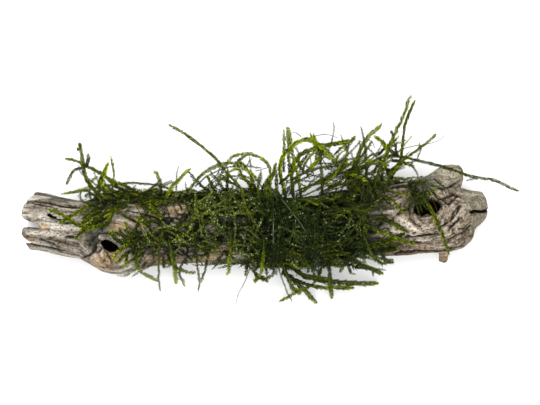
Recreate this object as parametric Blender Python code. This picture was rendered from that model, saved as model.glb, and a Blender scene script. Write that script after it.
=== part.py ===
"""Moss tied with clear line to a hollow, weathered piece of cholla wood that lies on its side.

Lengths are in millimetres, and MM turns them into metres where a mesh or a curve is made. +X runs along the
wood to its knobby end, +Y to the side where most of the moss stands out, and +Z up. The origin is on the
surface that the wood rests on, under the middle of the whole thing. Angles round the wood are in degrees:
0 faces +Y, 90 faces up and 180 faces -Y.
"""

import math

import bmesh
import bpy
import numpy as np
from mathutils import Vector

MM = 0.001
GAP = 0.4  # left between neighbouring pieces
FACET_SLACK = 0.4  # room for the flat facets that stand in for curved surfaces

# The wood along X: place, lowest and highest Y, lowest and highest Z. It bulges round the knot at x = -49 and
# in the knobby end at x = 55, and rests on those two bulges.
WOOD_STATIONS = np.array(
    [
        (-82, -15.5, 2.9, 2.4, 19.2),
        (-74, -15.8, 2.9, 2.2, 19.4),
        (-67, -17.7, 1.4, 1.6, 19.6),
        (-60, -18.9, 0.0, 0.8, 19.8),
        (-55, -22.0, 0.3, -0.4, 21.2),
        (-49, -23.8, 1.0, -0.9, 22.4),
        (-44, -22.2, 1.0, -0.6, 21.8),
        (-38, -20.9, 0.7, 0.6, 21.0),
        (-25, -19.9, 0.5, 1.6, 20.4),
        (-14, -19.5, 0.3, 2.2, 20.2),
        (-3, -18.8, 0.2, 2.6, 19.8),
        (10, -17.8, 0.4, 2.6, 19.6),
        (20, -17.4, 2.3, 2.0, 19.8),
        (32, -17.3, 4.3, 1.0, 20.4),
        (42, -17.2, 5.6, -0.2, 21.2),
        (51, -16.5, 6.0, -0.9, 21.6),
        (58, -16.1, 5.7, -0.8, 21.0),
        (62, -15.0, 5.0, 0.4, 19.8),
        (65, -12.4, 3.6, 2.4, 17.8),
        (68, -8.5, 2.2, 5.2, 15.0),
        (70, -5.0, -0.5, 8.6, 11.6),
    ],
    float,
)
WOOD_RINGS = 48
WOOD_SIDES = 30
EVEN_RINGS_STOP = 62
END_RINGS = (64, 66, 68, 69.3, 70)  # closer together where the knobby end rounds off
END_CROWN = 0.6
# Grooves of the weathered grain: how many round the wood, depth as a share of the radius, twist per mm, phase.
GROOVES = ((3, 0.030, 0.025, 1.3), (7, 0.020, -0.043, 0.4), (11, 0.014, 0.066, 2.0))
GROOVE_AT_EDGE = 0.3  # share of that depth at the two edges seen from above
# Swollen rims round the two holes: x, y, radius of the rim, its height and its width.
KNOTS = ((-51.5, -14.8, 5.2, 1.1, 2.4), (50.2, -2.1, 6.6, 0.8, 2.6))

BORE_WALL_Y = 3.6
BORE_WALL_Z = 3.3
BORE_START, BORE_BLEND, BORE_STOP = -86, 44, 59
BORE_TIP = 0.35  # size at its blind end, as a share
BORE_RINGS = 18
BORE_SIDES = 14

# The broken hollow end seen from above: two gaps part its wall into three prongs.
END_OUTLINE = (
    (-90, 12),
    (-75.4, 12),
    (-75.6, 3.0),
    (-77.9, 0.5),
    (-79.8, -3.6),
    (-79.2, -5.4),
    (-76.2, -6.6),
    (-72.2, -7.8),
    (-74.5, -8.6),
    (-79.2, -8.2),
    (-79.9, -11.0),
    (-76.9, -12.3),
    (-69.2, -14.6),
    (-72.3, -14.7),
    (-78.6, -13.6),
    (-77.4, -15.2),
    (-75.6, -22),
    (-90, -22),
)
# Holes through the upper wall: x, y, half length, half width, turn about Z in degrees.
HOLES = {
    "knot_hole": (-51.2, -14.2, 3.2, 1.9, -28),
    "big_hole": (50.2, -2.1, 4.7, 2.6, 8),
    "long_slot": (-68.2, -5.3, 4.6, 0.65, -21),
}
HOLE_BOTTOM, HOLE_TOP = 10, 30
HOLE_SIDES = 12
CRACK_OUTLINE = ((73, -1.2), (62.5, -2.6), (61.2, -3.0), (62.5, -3.5), (73, -4.6))  # splits the knobby end
CRACK_BOTTOM = 9
CUT_BOTTOM, CUT_TOP = -10, 40  # clear of the wood below and above
# What hangs below the resting surface is cut away, so that the two bulges stand on flats.
UNDERSIDE_OUTLINE = ((-100, -50), (100, -50), (100, 50), (-100, 50))
UNDERSIDE_BOTTOM = -20

# The broken side branch and a small peg below it: from and to, and the radius at both.
STUB = ((47.5, -0.5, 11.5), (61.6, 8.2, 13.2), 4.6, 3.7)
PEG = ((56.4, -12.5, 8.5), (55.8, -19.6, 7.6), 1.9, 1.5)
STUB_SIDES = 16
PEG_SIDES = 10

# The mat of moss along X: place, first and last angle that it covers, thickness. The tie pinches it at x = 1.
MAT_STATIONS = np.array(
    [
        (-59, -15, 38, 1.1),
        (-54, -36, 60, 1.8),
        (-47, -40, 74, 2.2),
        (-42, -40, 104, 2.1),
        (-36, -38, 146, 2.1),
        (-28, -38, 140, 2.2),
        (-20, -42, 138, 2.4),
        (-11, -46, 154, 2.8),
        (-4, -47, 186, 2.9),
        (1, -48, 203, 1.9),
        (7, -48, 206, 3.3),
        (16, -48, 204, 3.6),
        (24, -46, 192, 3.3),
        (30, -45, 158, 2.7),
        (36, -38, 116, 2.2),
        (42, -30, 84, 1.7),
        (46, -14, 62, 1.1),
    ],
    float,
)
MAT_GAP = 1.35  # between the wood and the mat's inner side
MAT_RINGS = 32
MAT_STEPS = 12
MAT_EDGE = 0.42  # thickness along its two long edges, as a share
MAT_LUMP = 0.24  # how far lumps raise and lower it, as a share
# Two crossing waves of lumps: turn per mm along X, turn per radian round the wood.
LUMP_WAVES = ((0.42, 2.1), (-0.25, 3.3))
# How far the two long edges wander: degrees, turn per mm along X, phase.
FIRST_EDGE_FRAY = ((4.0, 0.45, 0.0),)
LAST_EDGE_FRAY = ((5.0, 0.38, 1.2), (3.0, 0.62, 0.0))
MAT_MARGIN = 0.07  # share of its width beyond its edges where other pieces still pass over it
MAT_END_MARGIN = 1  # the same beyond its two ends, in mm

# The tie makes two turns round wood and moss, and crosses itself on top: angle, x.
TIE_RADIUS = 0.15
TIE_STOPS = np.array(
    [
        (-540, 0.9),
        (-450, -0.6),
        (-360, -0.8),
        (-322, 2.9),
        (-250, 13.2),
        (-180, 15.5),
        (-90, 8.0),
        (0, 1.6),
        (90, 0.9),
        (180, 0.9),
    ],
    float,
)
TIE_STEP = 12
TIE_SLACK = 0.2
TIE_TAUT_TURNS, TIE_TAUT = 2, 0.5  # how often each point is drawn to its neighbours' middle, and how far
TIE_CROSSING, TIE_CROSSING_SPREAD, TIE_CROSSING_LIFT = -336, 26, 0.85

# Shoots that stand clear of the mat: radius, height where it leaves the mat, at its crest and at its tip, and
# the way that it runs as seen from above, tip last.
SHOOTS = {
    "left_shoot_1": (
        0.60,
        (15, 19, 5),
        ((-44.5, 2.5), (-51.5, 7.5), (-55.5, 9.5), (-60.5, 12.5), (-66.5, 14)),
    ),
    "left_shoot_2": (
        0.50,
        (17, 22, 12),
        ((-53.5, 0), (-57, 3.5), (-59, 7), (-60, 11.5), (-60.5, 15.5), (-61.5, 19)),
    ),
    "left_shoot_3": (0.65, (17, 22, 20), ((-55.5, 0.5), (-55, 4), (-54, 8), (-52, 11.5))),
    "left_shoot_4": (0.60, (14, 19, 17), ((-50.5, 2), (-49.5, 7), (-50, 11.5), (-51, 14.5))),
    "left_shoot_5": (
        0.40,
        (14, 14.5, 3),
        ((-29, 3), (-37.5, 5.5), (-43, 6), (-51.5, 4.5), (-59.5, 3.5), (-67, 2.5)),
    ),
    "left_shoot_6": (0.65, (18, 21, 20.4), ((-56, -1), (-61, -2.5), (-63, -4), (-67.5, -7))),
    "left_shoot_7": (0.65, (22, 23, 20), ((-53.5, -6), (-57, -9.5), (-61, -8), (-66, -4), (-71, -2.5))),
    "left_shoot_8": (0.60, (21, 21.5, 20), ((-54, -4.5), (-57, -6), (-59.5, -9), (-62.5, -12))),
    "upper_shoot_1": (0.45, (16, 24, 11), ((-7, 1.5), (-14, 9.5), (-20, 16), (-26.5, 21), (-33, 25))),
    "upper_shoot_2": (
        0.50,
        (14, 19, 14),
        ((-26, 3), (-21.5, 9.5), (-17.5, 13), (-11, 12.5), (-4, 7), (-3.5, 5.5)),
    ),
    "upper_shoot_3": (0.50, (15, 26, 20), ((-1, 3), (0.6, 9), (0, 13), (-4, 15.3), (-10, 15.5), (-13, 14))),
    "upper_shoot_4": (0.50, (13, 12, 7), ((-35.5, 2.5), (-35.5, 7), (-36, 9), (-38, 10))),
    "upper_shoot_5": (0.60, (16, 19, 14), ((-34, 2), (-30, 6), (-26, 10))),
    "upper_shoot_6": (0.50, (14, 23, 19), ((9.5, 4), (8, 9.5), (6.8, 16), (5.5, 24))),
    "upper_shoot_7": (
        0.60,
        (14, 27, 15),
        ((4.5, 3.5), (2.5, 9), (3, 14.5), (7.5, 18.5), (10, 20.5), (13.5, 20), (21, 12.5)),
    ),
    "upper_shoot_8": (0.55, (14, 19, 8), ((7, 4), (6, 9), (8, 15), (12.5, 17), (20, 18.5), (25.5, 19))),
    "upper_shoot_9": (0.60, (13, 16, 13), ((16.5, 5), (16.5, 10), (16, 14.5), (13.5, 22))),
    "upper_shoot_10": (0.40, (14, 21, 15), ((31, 6), (30.5, 13.5), (30.5, 18.5), (29, 24.5))),
    "upper_shoot_11": (0.60, (12, 13, 7), ((25.5, 6.5), (27.5, 13.5), (31, 21), (35.5, 24.5))),
    "right_shoot_1": (0.60, (14, 25, 12), ((33.5, 7), (36, 12.5), (39, 21), (41.5, 26), (45, 33.7))),
    "right_shoot_2": (0.45, (13, 16, 7), ((39, 7), (41.5, 11), (42.5, 16.5), (43, 25), (46.5, 32.5))),
    "right_shoot_3": (0.60, (16, 22, 12), ((36.5, 7.5), (42.5, 14), (46, 15.5), (53, 21.5))),
    "right_shoot_4": (
        0.45,
        (13, 18, 5),
        ((31.5, 7), (36.5, 13.5), (40, 16.5), (47, 18), (51.5, 19), (54, 18), (57, 22)),
    ),
    "right_shoot_5": (
        0.45,
        (15, 25, 9),
        ((29, 7), (33.5, 14.5), (38, 15.5), (45, 13.5), (56, 10.5), (66, 7.5), (71, 7.5), (79.7, 3.5)),
    ),
    "right_shoot_6": (
        0.75,
        (18, 24, 12),
        ((46, 2.5), (49.5, 1), (51.5, -3.5), (55.5, -11), (57, -14), (57.5, -17)),
    ),
    "right_shoot_7": (0.70, (23, 24, 21.5), ((34, -3.5), (38, -6), (43.5, -10))),
    "right_shoot_8": (0.70, (21, 21.5, 19.5), ((30, -13.5), (38, -13.5), (45.5, -13))),
    "lower_shoot_1": (0.50, (19.5, 19, 5), ((-42.5, -14), (-43.8, -20.5), (-41, -23.5), (-37, -25.5))),
    "lower_shoot_2": (0.45, (21, 19, 4), ((-35, -16), (-35.5, -21), (-36, -24), (-36, -29))),
    "lower_shoot_3": (0.60, (20, 18, 6), ((-32, -17), (-31, -20.5), (-29.5, -24), (-30.5, -26.5))),
    "lower_shoot_4": (0.40, (19, 18, 4), ((-24, -15.5), (-24, -19), (-22.8, -26), (-23, -29))),
    "lower_shoot_5": (0.65, (17, 16, 8), ((-12.5, -17), (-13, -21), (-14, -24))),
    "lower_shoot_6": (0.35, (14, 14, 1.5), ((-6.5, -19), (-6, -23), (-9, -26), (-11.5, -34))),
    "lower_shoot_7": (0.55, (14, 12, 4), ((-2, -19), (-2.5, -22), (-5.5, -26))),
    "lower_shoot_8": (0.75, (11, 12, 3.5), ((4.5, -21), (7, -23.5), (9.5, -27), (14.5, -32.5))),
    "lower_shoot_9": (0.75, (9, 9, 3), ((7, -21.5), (10, -24), (16, -25.2), (23.5, -26.5), (34.5, -26.5))),
    "lower_shoot_10": (0.60, (8, 6, 2), ((17, -21), (15, -26.5), (9.5, -29), (4, -31), (2.5, -33))),
    "lower_shoot_11": (0.60, (13, 15, 3), ((18.5, -20.5), (19, -25.5), (20, -31))),
    "lower_shoot_12": (0.50, (11, 11, 5), ((27, -19.5), (32, -20.5), (36, -23))),
    "lower_shoot_13": (0.55, (14, 14, 9), ((29.5, -18.5), (32.5, -20), (36.5, -20.2), (39, -19.5))),
}
SHOOT_POINT_EVERY = 3.6
SHOOT_FEWEST_POINTS = 4
YOUNG_FROM = 0.55  # radius from which a shoot is young, leafy growth
SHOOT_TIP = 0.55  # radius at the tip, as a share
CREST_AT = 0.4
FLOOR_CLEARANCE = 0.4
ROOT_GAP = 0.6
EASING_ROUNDS = 18
EASING_SMOOTH = 0.3
EASING_SMOOTH_TURNS = (3, 6, 9)
DENSER = 4
TINY = 1e-6

# Finish of each kind of piece: colour, roughness.
FINISHES = {
    "weathered_wood": ((0.44, 0.36, 0.29), 0.85),
    "moss": ((0.06, 0.12, 0.02), 0.55),
    "young_moss": ((0.16, 0.28, 0.04), 0.5),
    "clear_line": ((0.62, 0.66, 0.55), 0.2),
}


def collection_named(name):
    collection = bpy.data.collections.new(name)
    bpy.context.scene.collection.children.link(collection)
    return collection


def finish(name):
    """The material of this finish, made once."""
    if name in bpy.data.materials:
        return bpy.data.materials[name]
    colour, roughness = FINISHES[name]
    material = bpy.data.materials.new(name)
    material.use_nodes = True
    shader = material.node_tree.nodes["Principled BSDF"]
    shader.inputs["Base Color"].default_value = (*colour, 1)
    shader.inputs["Roughness"].default_value = roughness
    shader.inputs["Metallic"].default_value = 0
    return material


def object_from(name, data, collection, finish_name=None):
    made = bpy.data.objects.new(name, data)
    collection.objects.link(made)
    if finish_name:
        data.materials.append(finish(finish_name))
    return made


def mesh_object(name, mesh_builder, collection, finish_name=None):
    """An object from a bmesh in millimetres, with its faces turned outwards."""
    bmesh.ops.recalc_face_normals(mesh_builder, faces=mesh_builder.faces)
    bmesh.ops.scale(mesh_builder, vec=(MM, MM, MM), verts=mesh_builder.verts)
    mesh = bpy.data.meshes.new(name)
    mesh_builder.to_mesh(mesh)
    mesh_builder.free()
    return object_from(name, mesh, collection, finish_name)


def smooth(at, stations, values):
    """Values between stations, on a curve with no corners."""
    slopes = np.gradient(values, stations)
    left = np.clip(np.searchsorted(stations, at) - 1, 0, len(stations) - 2)
    width = stations[left + 1] - stations[left]
    t = np.clip((at - stations[left]) / width, 0, 1)
    return (
        (1 + 2 * t) * (1 - t) ** 2 * values[left]
        + t * (1 - t) ** 2 * width * slopes[left]
        + t**2 * (3 - 2 * t) * values[left + 1]
        + t**2 * (t - 1) * width * slopes[left + 1]
    )


def wood_section(x):
    """Centre and half size of the wood in Y and Z."""
    low_y, high_y, low_z, high_z = [smooth(x, WOOD_STATIONS[:, 0], column) for column in WOOD_STATIONS.T[1:]]
    centre = np.array([low_y + high_y, low_z + high_z]) / 2
    return centre, np.array([high_y - low_y, high_z - low_z]) / 2


def wood_surface(x, angles, lift=0.0):
    """Points round the wood at x, this far outside its surface, for angles in radians."""
    centre, half = wood_section(x)
    out = np.stack([np.cos(angles), np.sin(angles)], axis=-1)
    relief = sum(
        depth * np.cos(count * angles + twist * x + phase) for count, depth, twist, phase in GROOVES
    )
    relief = relief * (GROOVE_AT_EDGE + (1 - GROOVE_AT_EDGE) * np.sin(angles) ** 2)
    spot = centre + out * half * (1 + relief)[..., None]
    normal = out / half
    normal /= np.linalg.norm(normal, axis=-1, keepdims=True)
    swell = 0
    for knot_x, knot_y, radius, height, width in KNOTS:
        away = np.hypot(x - knot_x, spot[..., 0] - knot_y)
        swell = swell + height * np.exp(-(((away - radius) / width) ** 2)) * (out[..., 1] > 0)
    spot = spot + normal * (np.asarray(lift) + swell)[..., None]
    return np.concatenate([np.full(spot.shape[:-1] + (1,), float(x)), spot], axis=-1)


def skin(rings):
    """A tube through rings of points, open at both ends, and the corners of its rings."""
    builder = bmesh.new()
    loops = [[builder.verts.new(point) for point in ring] for ring in rings]
    for near, far in zip(loops, loops[1:]):
        for i in range(len(near)):
            j = (i + 1) % len(near)
            builder.faces.new((near[i], near[j], far[j], far[i]))
    return builder, loops


def loft(rings, crowns=(0, 0)):
    """A closed tube through rings of points, with each end drawn out to a crown."""
    builder, loops = skin(rings)
    for loop, ring, crown in ((loops[0], rings[0], -crowns[0]), (loops[-1], rings[-1], crowns[1])):
        middle = np.mean(ring, axis=0) + (crown, 0, 0)
        tip = builder.verts.new(middle)
        for i in range(len(loop)):
            builder.faces.new((loop[i], loop[(i + 1) % len(loop)], tip))
    return builder


def prism(outline, bottom, top):
    builder = bmesh.new()
    face = builder.faces.new([builder.verts.new((x, y, bottom)) for x, y in outline])
    raised = bmesh.ops.extrude_face_region(builder, geom=[face])["geom"]
    moved = [item for item in raised if isinstance(item, bmesh.types.BMVert)]
    bmesh.ops.translate(builder, vec=(0, 0, top - bottom), verts=moved)
    return builder


def round_bar(start, end, start_radius, end_radius, sides):
    """A tapered round bar from one point to another."""
    start, end = Vector(start), Vector(end)
    builder = bmesh.new()
    bmesh.ops.create_cone(
        builder,
        cap_ends=True,
        segments=sides,
        radius1=start_radius,
        radius2=end_radius,
        depth=(end - start).length,
    )
    turn = (end - start).to_track_quat("Z", "Y").to_matrix().to_4x4()
    turn.translation = (start + end) / 2
    bmesh.ops.transform(builder, matrix=turn, verts=builder.verts)
    return builder


def boolean(target, cutter, operation):
    cutter.hide_render = True
    cutter.display_type = "WIRE"
    modifier = target.modifiers.new(cutter.name, "BOOLEAN")
    modifier.operation = operation
    modifier.solver = "EXACT"
    modifier.object = cutter


def wood_body(parts):
    along = np.linspace(WOOD_STATIONS[0, 0], EVEN_RINGS_STOP, WOOD_RINGS - len(END_RINGS))
    around = np.radians(np.arange(WOOD_SIDES) * 360 / WOOD_SIDES)
    rings = [wood_surface(x, around) for x in (*along, *END_RINGS)]
    return mesh_object("cholla_wood", loft(rings, (0, END_CROWN)), parts, "weathered_wood")


def bore(cutters):
    """The hollow in the wood, open at the broken end and blind in the knobby end."""
    around = np.radians(np.arange(BORE_SIDES) * 360 / BORE_SIDES)
    rings = []
    for x in np.linspace(BORE_START, BORE_STOP, BORE_RINGS):
        centre, half = wood_section(max(x, WOOD_STATIONS[0, 0]))
        narrowing = np.interp(x, (BORE_BLEND, BORE_STOP), (1, BORE_TIP))
        size = (half - (BORE_WALL_Y, BORE_WALL_Z)) * narrowing
        y = centre[0] + size[0] * np.cos(around)
        z = centre[1] + size[1] * np.sin(around)
        rings.append(np.stack([np.full(BORE_SIDES, x), y, z], axis=1))
    return mesh_object("bore", loft(rings), cutters)


def hole(name, cutters):
    x, y, half_length, half_width, turn = HOLES[name]
    c, s = math.cos(math.radians(turn)), math.sin(math.radians(turn))
    outline = []
    for i in range(HOLE_SIDES):
        angle = 2 * math.pi * i / HOLE_SIDES
        along, across = half_length * math.cos(angle), half_width * math.sin(angle)
        outline.append((x + along * c - across * s, y + along * s + across * c))
    return mesh_object(name, prism(outline, HOLE_BOTTOM, HOLE_TOP), cutters)


def cholla_wood(parts, cutters):
    wood = wood_body(parts)
    boolean(wood, mesh_object("stub", round_bar(*STUB, STUB_SIDES), cutters), "UNION")
    boolean(wood, mesh_object("peg", round_bar(*PEG, PEG_SIDES), cutters), "UNION")
    boolean(wood, bore(cutters), "DIFFERENCE")
    broken_end = prism(END_OUTLINE, CUT_BOTTOM, CUT_TOP)
    boolean(wood, mesh_object("broken_end", broken_end, cutters), "DIFFERENCE")
    for name in HOLES:
        boolean(wood, hole(name, cutters), "DIFFERENCE")
    crack = prism(CRACK_OUTLINE, CRACK_BOTTOM, CUT_TOP)
    boolean(wood, mesh_object("end_crack", crack, cutters), "DIFFERENCE")
    underside = prism(UNDERSIDE_OUTLINE, UNDERSIDE_BOTTOM, 0)
    boolean(wood, mesh_object("underside", underside, cutters), "DIFFERENCE")
    return wood


def mat_edges(x):
    """First and last angle of the mat at x, in radians, with frayed edges."""
    edges = []
    for column, fray in ((1, FIRST_EDGE_FRAY), (2, LAST_EDGE_FRAY)):
        even = smooth(x, MAT_STATIONS[:, 0], MAT_STATIONS[:, column])
        wander = sum(degrees * math.sin(turn * x + phase) for degrees, turn, phase in fray)
        edges.append(math.radians(even + wander))
    return edges


def mat_thickness(x, angle, across):
    """Thickness of the mat, where across runs from 0 at its first edge to 1 at its last."""
    lump = math.prod(math.sin(along * x + around * angle) for along, around in LUMP_WAVES)
    rounded = MAT_EDGE + (1 - MAT_EDGE) * math.sqrt(math.sin(math.pi * min(max(across, 0), 1)))
    return smooth(x, MAT_STATIONS[:, 0], MAT_STATIONS[:, 3]) * rounded * (1 + MAT_LUMP * lump)


def moss_mat(parts):
    """The tangled mat, as one thick shell that lies over the wood and ends below it on both sides."""
    rings = []
    for x in np.linspace(MAT_STATIONS[0, 0], MAT_STATIONS[-1, 0], MAT_RINGS):
        first, last = mat_edges(x)
        across = np.linspace(0, 1, MAT_STEPS)
        angles = first + (last - first) * across
        thickness = np.array([mat_thickness(x, angle, part) for angle, part in zip(angles, across)])
        inner = wood_surface(x, angles, np.full(MAT_STEPS, MAT_GAP))
        outer = wood_surface(x, angles, MAT_GAP + thickness)
        rings.append(np.concatenate([outer, inner[::-1]]))
    builder, loops = skin(rings)
    for loop in (loops[0], loops[-1]):
        for i in range(MAT_STEPS - 1):
            builder.faces.new((loop[i], loop[i + 1], loop[-2 - i], loop[-1 - i]))
    return mesh_object("moss_mat", builder, parts, "moss")


def cover(x, angle):
    """How far the moss reaches outside the wood there."""
    if not MAT_STATIONS[0, 0] - MAT_END_MARGIN < x < MAT_STATIONS[-1, 0] + MAT_END_MARGIN:
        return 0
    first, last = mat_edges(x)
    middle = (first + last) / 2
    turned = middle + math.remainder(angle - middle, 2 * math.pi)
    across = (turned - first) / (last - first)
    if not -MAT_MARGIN < across < 1 + MAT_MARGIN:
        return 0
    return MAT_GAP + mat_thickness(x, turned, across)


def over_cover(point, lift):
    """The place this far outside the wood or the mat, out through the point, and the wood's centre."""
    x = point[0]
    centre, half = wood_section(x)
    offset = (point[1:] - centre) / half
    angle = math.atan2(offset[1], offset[0])
    return wood_surface(x, np.array([angle]), np.array([cover(x, angle) + lift]))[0], centre


def push_out(point, radius):
    """What moves the point out of the wood and the mat, to leave the gap round a piece of this radius."""
    if not WOOD_STATIONS[0, 0] < point[0] < WOOD_STATIONS[-1, 0]:
        return np.zeros(3)
    least, centre = over_cover(point, radius + GAP + FACET_SLACK)
    inside = np.linalg.norm(point[1:] - centre) < np.linalg.norm(least[1:] - centre)
    return least - point if inside else np.zeros(3)


def dense(points, radii):
    """Points closer together along the same route, with their radii."""
    at = np.arange(len(points))
    fine = np.linspace(0, len(points) - 1, DENSER * (len(points) - 1) + 1)
    spots = np.stack([np.interp(fine, at, points[:, k]) for k in range(3)], axis=1)
    return spots, np.interp(fine, at, radii)


def shift(points, k, push):
    """Moves the two points of a route that its k-th dense point lies between."""
    left, share = k // DENSER, (k % DENSER) / DENSER
    points[left] += push * (1 - share)
    if share:
        points[left + 1] += push * share


def move_out(points, radii):
    """Moves a route's points out of the wood and the mat."""
    for k in range(1, DENSER * (len(points) - 1) + 1):
        spots, own = dense(points, radii)
        shift(points, k, push_out(spots[k], own[k]))


def move_off(points, radii, laid):
    """Moves a route's points up or down from the pieces that are already laid, until there is a gap."""
    for centres, others in laid:
        spots, own = dense(points, radii)
        away = spots[:, None] - centres[None]
        distance = np.linalg.norm(away, axis=2)
        missing = own[:, None] + others[None] + GAP - distance
        nearest = np.argmax(missing, axis=1)
        worst = int(np.argmax(missing.max(axis=1)))
        side = 1 if away[worst, nearest[worst], 2] >= 0 else -1
        for k in np.flatnonzero(missing.max(axis=1) > 0):
            lack = missing[k, nearest[k]]
            step = away[k, nearest[k]] + (0, 0, side * distance[k, nearest[k]])
            push = (step / (np.linalg.norm(step) + TINY) + (0, 0, side)) / 2 * lack
            shift(points, k, push)


def tube(name, points, radii, parts, finish_name, cyclic=False):
    curve = bpy.data.curves.new(name, "CURVE")
    curve.dimensions = "3D"
    curve.bevel_depth = MM
    curve.bevel_resolution = 1
    curve.use_fill_caps = not cyclic
    spline = curve.splines.new("POLY")
    spline.points.add(len(points) - 1)
    for knot, point, radius in zip(spline.points, points, radii):
        knot.co = (*(np.asarray(point) * MM), 1)
        knot.radius = radius
    spline.use_cyclic_u = cyclic
    return object_from(name, curve, parts, finish_name)


def tie_route():
    """The tie's two turns, drawn taut over the mat and the bare wood below."""
    angles = np.arange(TIE_STOPS[0, 0], TIE_STOPS[-1, 0], TIE_STEP)
    points = []
    for angle in angles:
        x = smooth(angle, TIE_STOPS[:, 0], TIE_STOPS[:, 1])
        turned = math.radians(angle)
        over = TIE_CROSSING_LIFT * math.exp(-(((angle - TIE_CROSSING) / TIE_CROSSING_SPREAD) ** 2))
        lift = cover(x, turned) + GAP + TIE_SLACK + TIE_RADIUS + over
        points.append(wood_surface(x, np.array([turned]), np.array([lift]))[0])
    points = np.array(points)
    for _ in range(TIE_TAUT_TURNS):
        middles = (np.roll(points, 1, axis=0) + np.roll(points, -1, axis=0)) / 2
        points = points + (middles - points) * TIE_TAUT
        points = np.array([point + push_out(point, TIE_RADIUS + TIE_SLACK) for point in points])
    return points


def shoot_route(radius, heights, way, laid):
    """A shoot's smooth route, eased out of everything that it would touch."""
    way = np.array(way, float)
    steps = np.concatenate([[0], np.cumsum(np.linalg.norm(np.diff(way, axis=0), axis=1))])
    count = max(SHOOT_FEWEST_POINTS, round(steps[-1] / SHOOT_POINT_EVERY) + 1)
    share = np.linspace(0, 1, count)
    curve = np.polyfit((0, CREST_AT, 1), heights, 2)
    x = smooth(share * steps[-1], steps, way[:, 0])
    y = smooth(share * steps[-1], steps, way[:, 1])
    points = np.stack([x, y, np.polyval(curve, share)], axis=1)
    radii = radius * (1 - (1 - SHOOT_TIP) * share**2)
    for turn in range(EASING_ROUNDS):
        if turn in EASING_SMOOTH_TURNS:
            points[1:-1] += ((points[:-2] + points[2:]) / 2 - points[1:-1]) * EASING_SMOOTH
        move_off(points, radii, laid)
        move_out(points, radii)
        points[0] = over_cover(points[0], radii[0] + ROOT_GAP)[0]
        points[:, 2] = np.maximum(points[:, 2], radii + FLOOR_CLEARANCE)
    return points, radii


def main():
    for old in list(bpy.data.objects):
        bpy.data.objects.remove(old)
    parts = collection_named("moss_on_cholla_wood")
    cutters = collection_named("cutters")
    cholla_wood(parts, cutters)
    moss_mat(parts)

    tie = tie_route()
    tie_radii = np.full(len(tie), TIE_RADIUS)
    tube("tie_line", tie, tie_radii, parts, "clear_line", cyclic=True)
    closed = np.concatenate([tie, tie[:1]])
    stub = dense(np.array(STUB[:2], float), np.array(STUB[2:], float))
    laid = [dense(closed, np.full(len(closed), TIE_RADIUS)), stub]

    for name, (radius, heights, way) in SHOOTS.items():
        points, radii = shoot_route(radius, heights, way, laid)
        tube(name, points, radii, parts, "young_moss" if radius >= YOUNG_FROM else "moss")
        laid.append(dense(points, radii))


main()
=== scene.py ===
"""Finishes for aquarium moss tied with clear line to a hollow, weathered piece of cholla wood.

Lengths are in millimetres, and MM turns them into metres where a mesh is made. +X runs along the wood to its
knobby end, +Y to the side where most of the moss stands out, and +Z up, towards the camera. Angles round the
wood are in radians: 0 faces +Y and a quarter turn faces up. A patch is an ellipse seen from above: the pixel
of the photograph at its middle, and its half width and half height in pixels.
"""

import math

import bpy
import numpy as np
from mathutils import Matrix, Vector
from mathutils.bvhtree import BVHTree


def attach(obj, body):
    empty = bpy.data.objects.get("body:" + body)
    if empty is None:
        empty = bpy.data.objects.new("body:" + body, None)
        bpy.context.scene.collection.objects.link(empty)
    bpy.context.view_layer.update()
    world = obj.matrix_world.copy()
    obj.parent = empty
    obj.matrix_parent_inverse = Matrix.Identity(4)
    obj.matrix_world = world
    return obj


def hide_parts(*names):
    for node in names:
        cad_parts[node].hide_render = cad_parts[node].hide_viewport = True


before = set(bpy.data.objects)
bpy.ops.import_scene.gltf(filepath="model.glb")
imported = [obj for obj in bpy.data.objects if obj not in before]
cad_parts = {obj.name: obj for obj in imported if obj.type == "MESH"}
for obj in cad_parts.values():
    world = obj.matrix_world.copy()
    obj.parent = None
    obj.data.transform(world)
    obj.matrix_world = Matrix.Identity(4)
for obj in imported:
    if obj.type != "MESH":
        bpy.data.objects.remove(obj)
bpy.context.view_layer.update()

MM = 0.001
BODY = "root"
rng = np.random.default_rng(41)

# The photograph is 540 x 405 pixels. The wood is 466 pixels and 150 mm long in it.
PX = 150 / 466
ORIGIN_PIXEL = (270.5, 201.5)
PHOTO_WIDTH = 540
PHOTO_CENTRE = (270, 202.5)
SHARP_HEIGHT = 12  # height at which the photograph's scale holds
LENS = 200
SENSOR = 36

FLOOR_SIZE = 3000
SURROUND_STRENGTH = 0.88
# Soft lights: name, power in watts, size and place in mm.
LAMPS = (("window_light", 5.6, 560, (-120, 350, 720)), ("top_light", 3.2, 500, (60, -240, 780)))

# The wood's middle line: x, y, z.
AXIS = np.array(
    [
        (-82, -6.3, 10.8), (-60, -9.4, 10.4), (-49, -11.4, 10.8), (-25, -9.7, 11.0), (10, -8.7, 11.1),
        (42, -5.8, 10.5), (70, -3.6, 10.0),
    ]
)
MIDDLE_HEIGHT = AXIS[0, 2]
SKY = 60  # a height over everything


def place(pixel):
    """x and y in millimetres of a pixel of the photograph."""
    return np.array([(pixel[0] - ORIGIN_PIXEL[0]) * PX, (ORIGIN_PIXEL[1] - pixel[1]) * PX])


def colour(hex_code):
    """An sRGB hex value as linear red, green, blue and alpha."""
    parts = [int(hex_code[i : i + 2], 16) / 255 for i in (1, 3, 5)]
    return (*[part / 12.92 if part <= 0.04045 else ((part + 0.055) / 1.055) ** 2.4 for part in parts], 1)


def set_value(socket, value):
    socket.default_value = colour(value) if isinstance(value, str) else value


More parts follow.
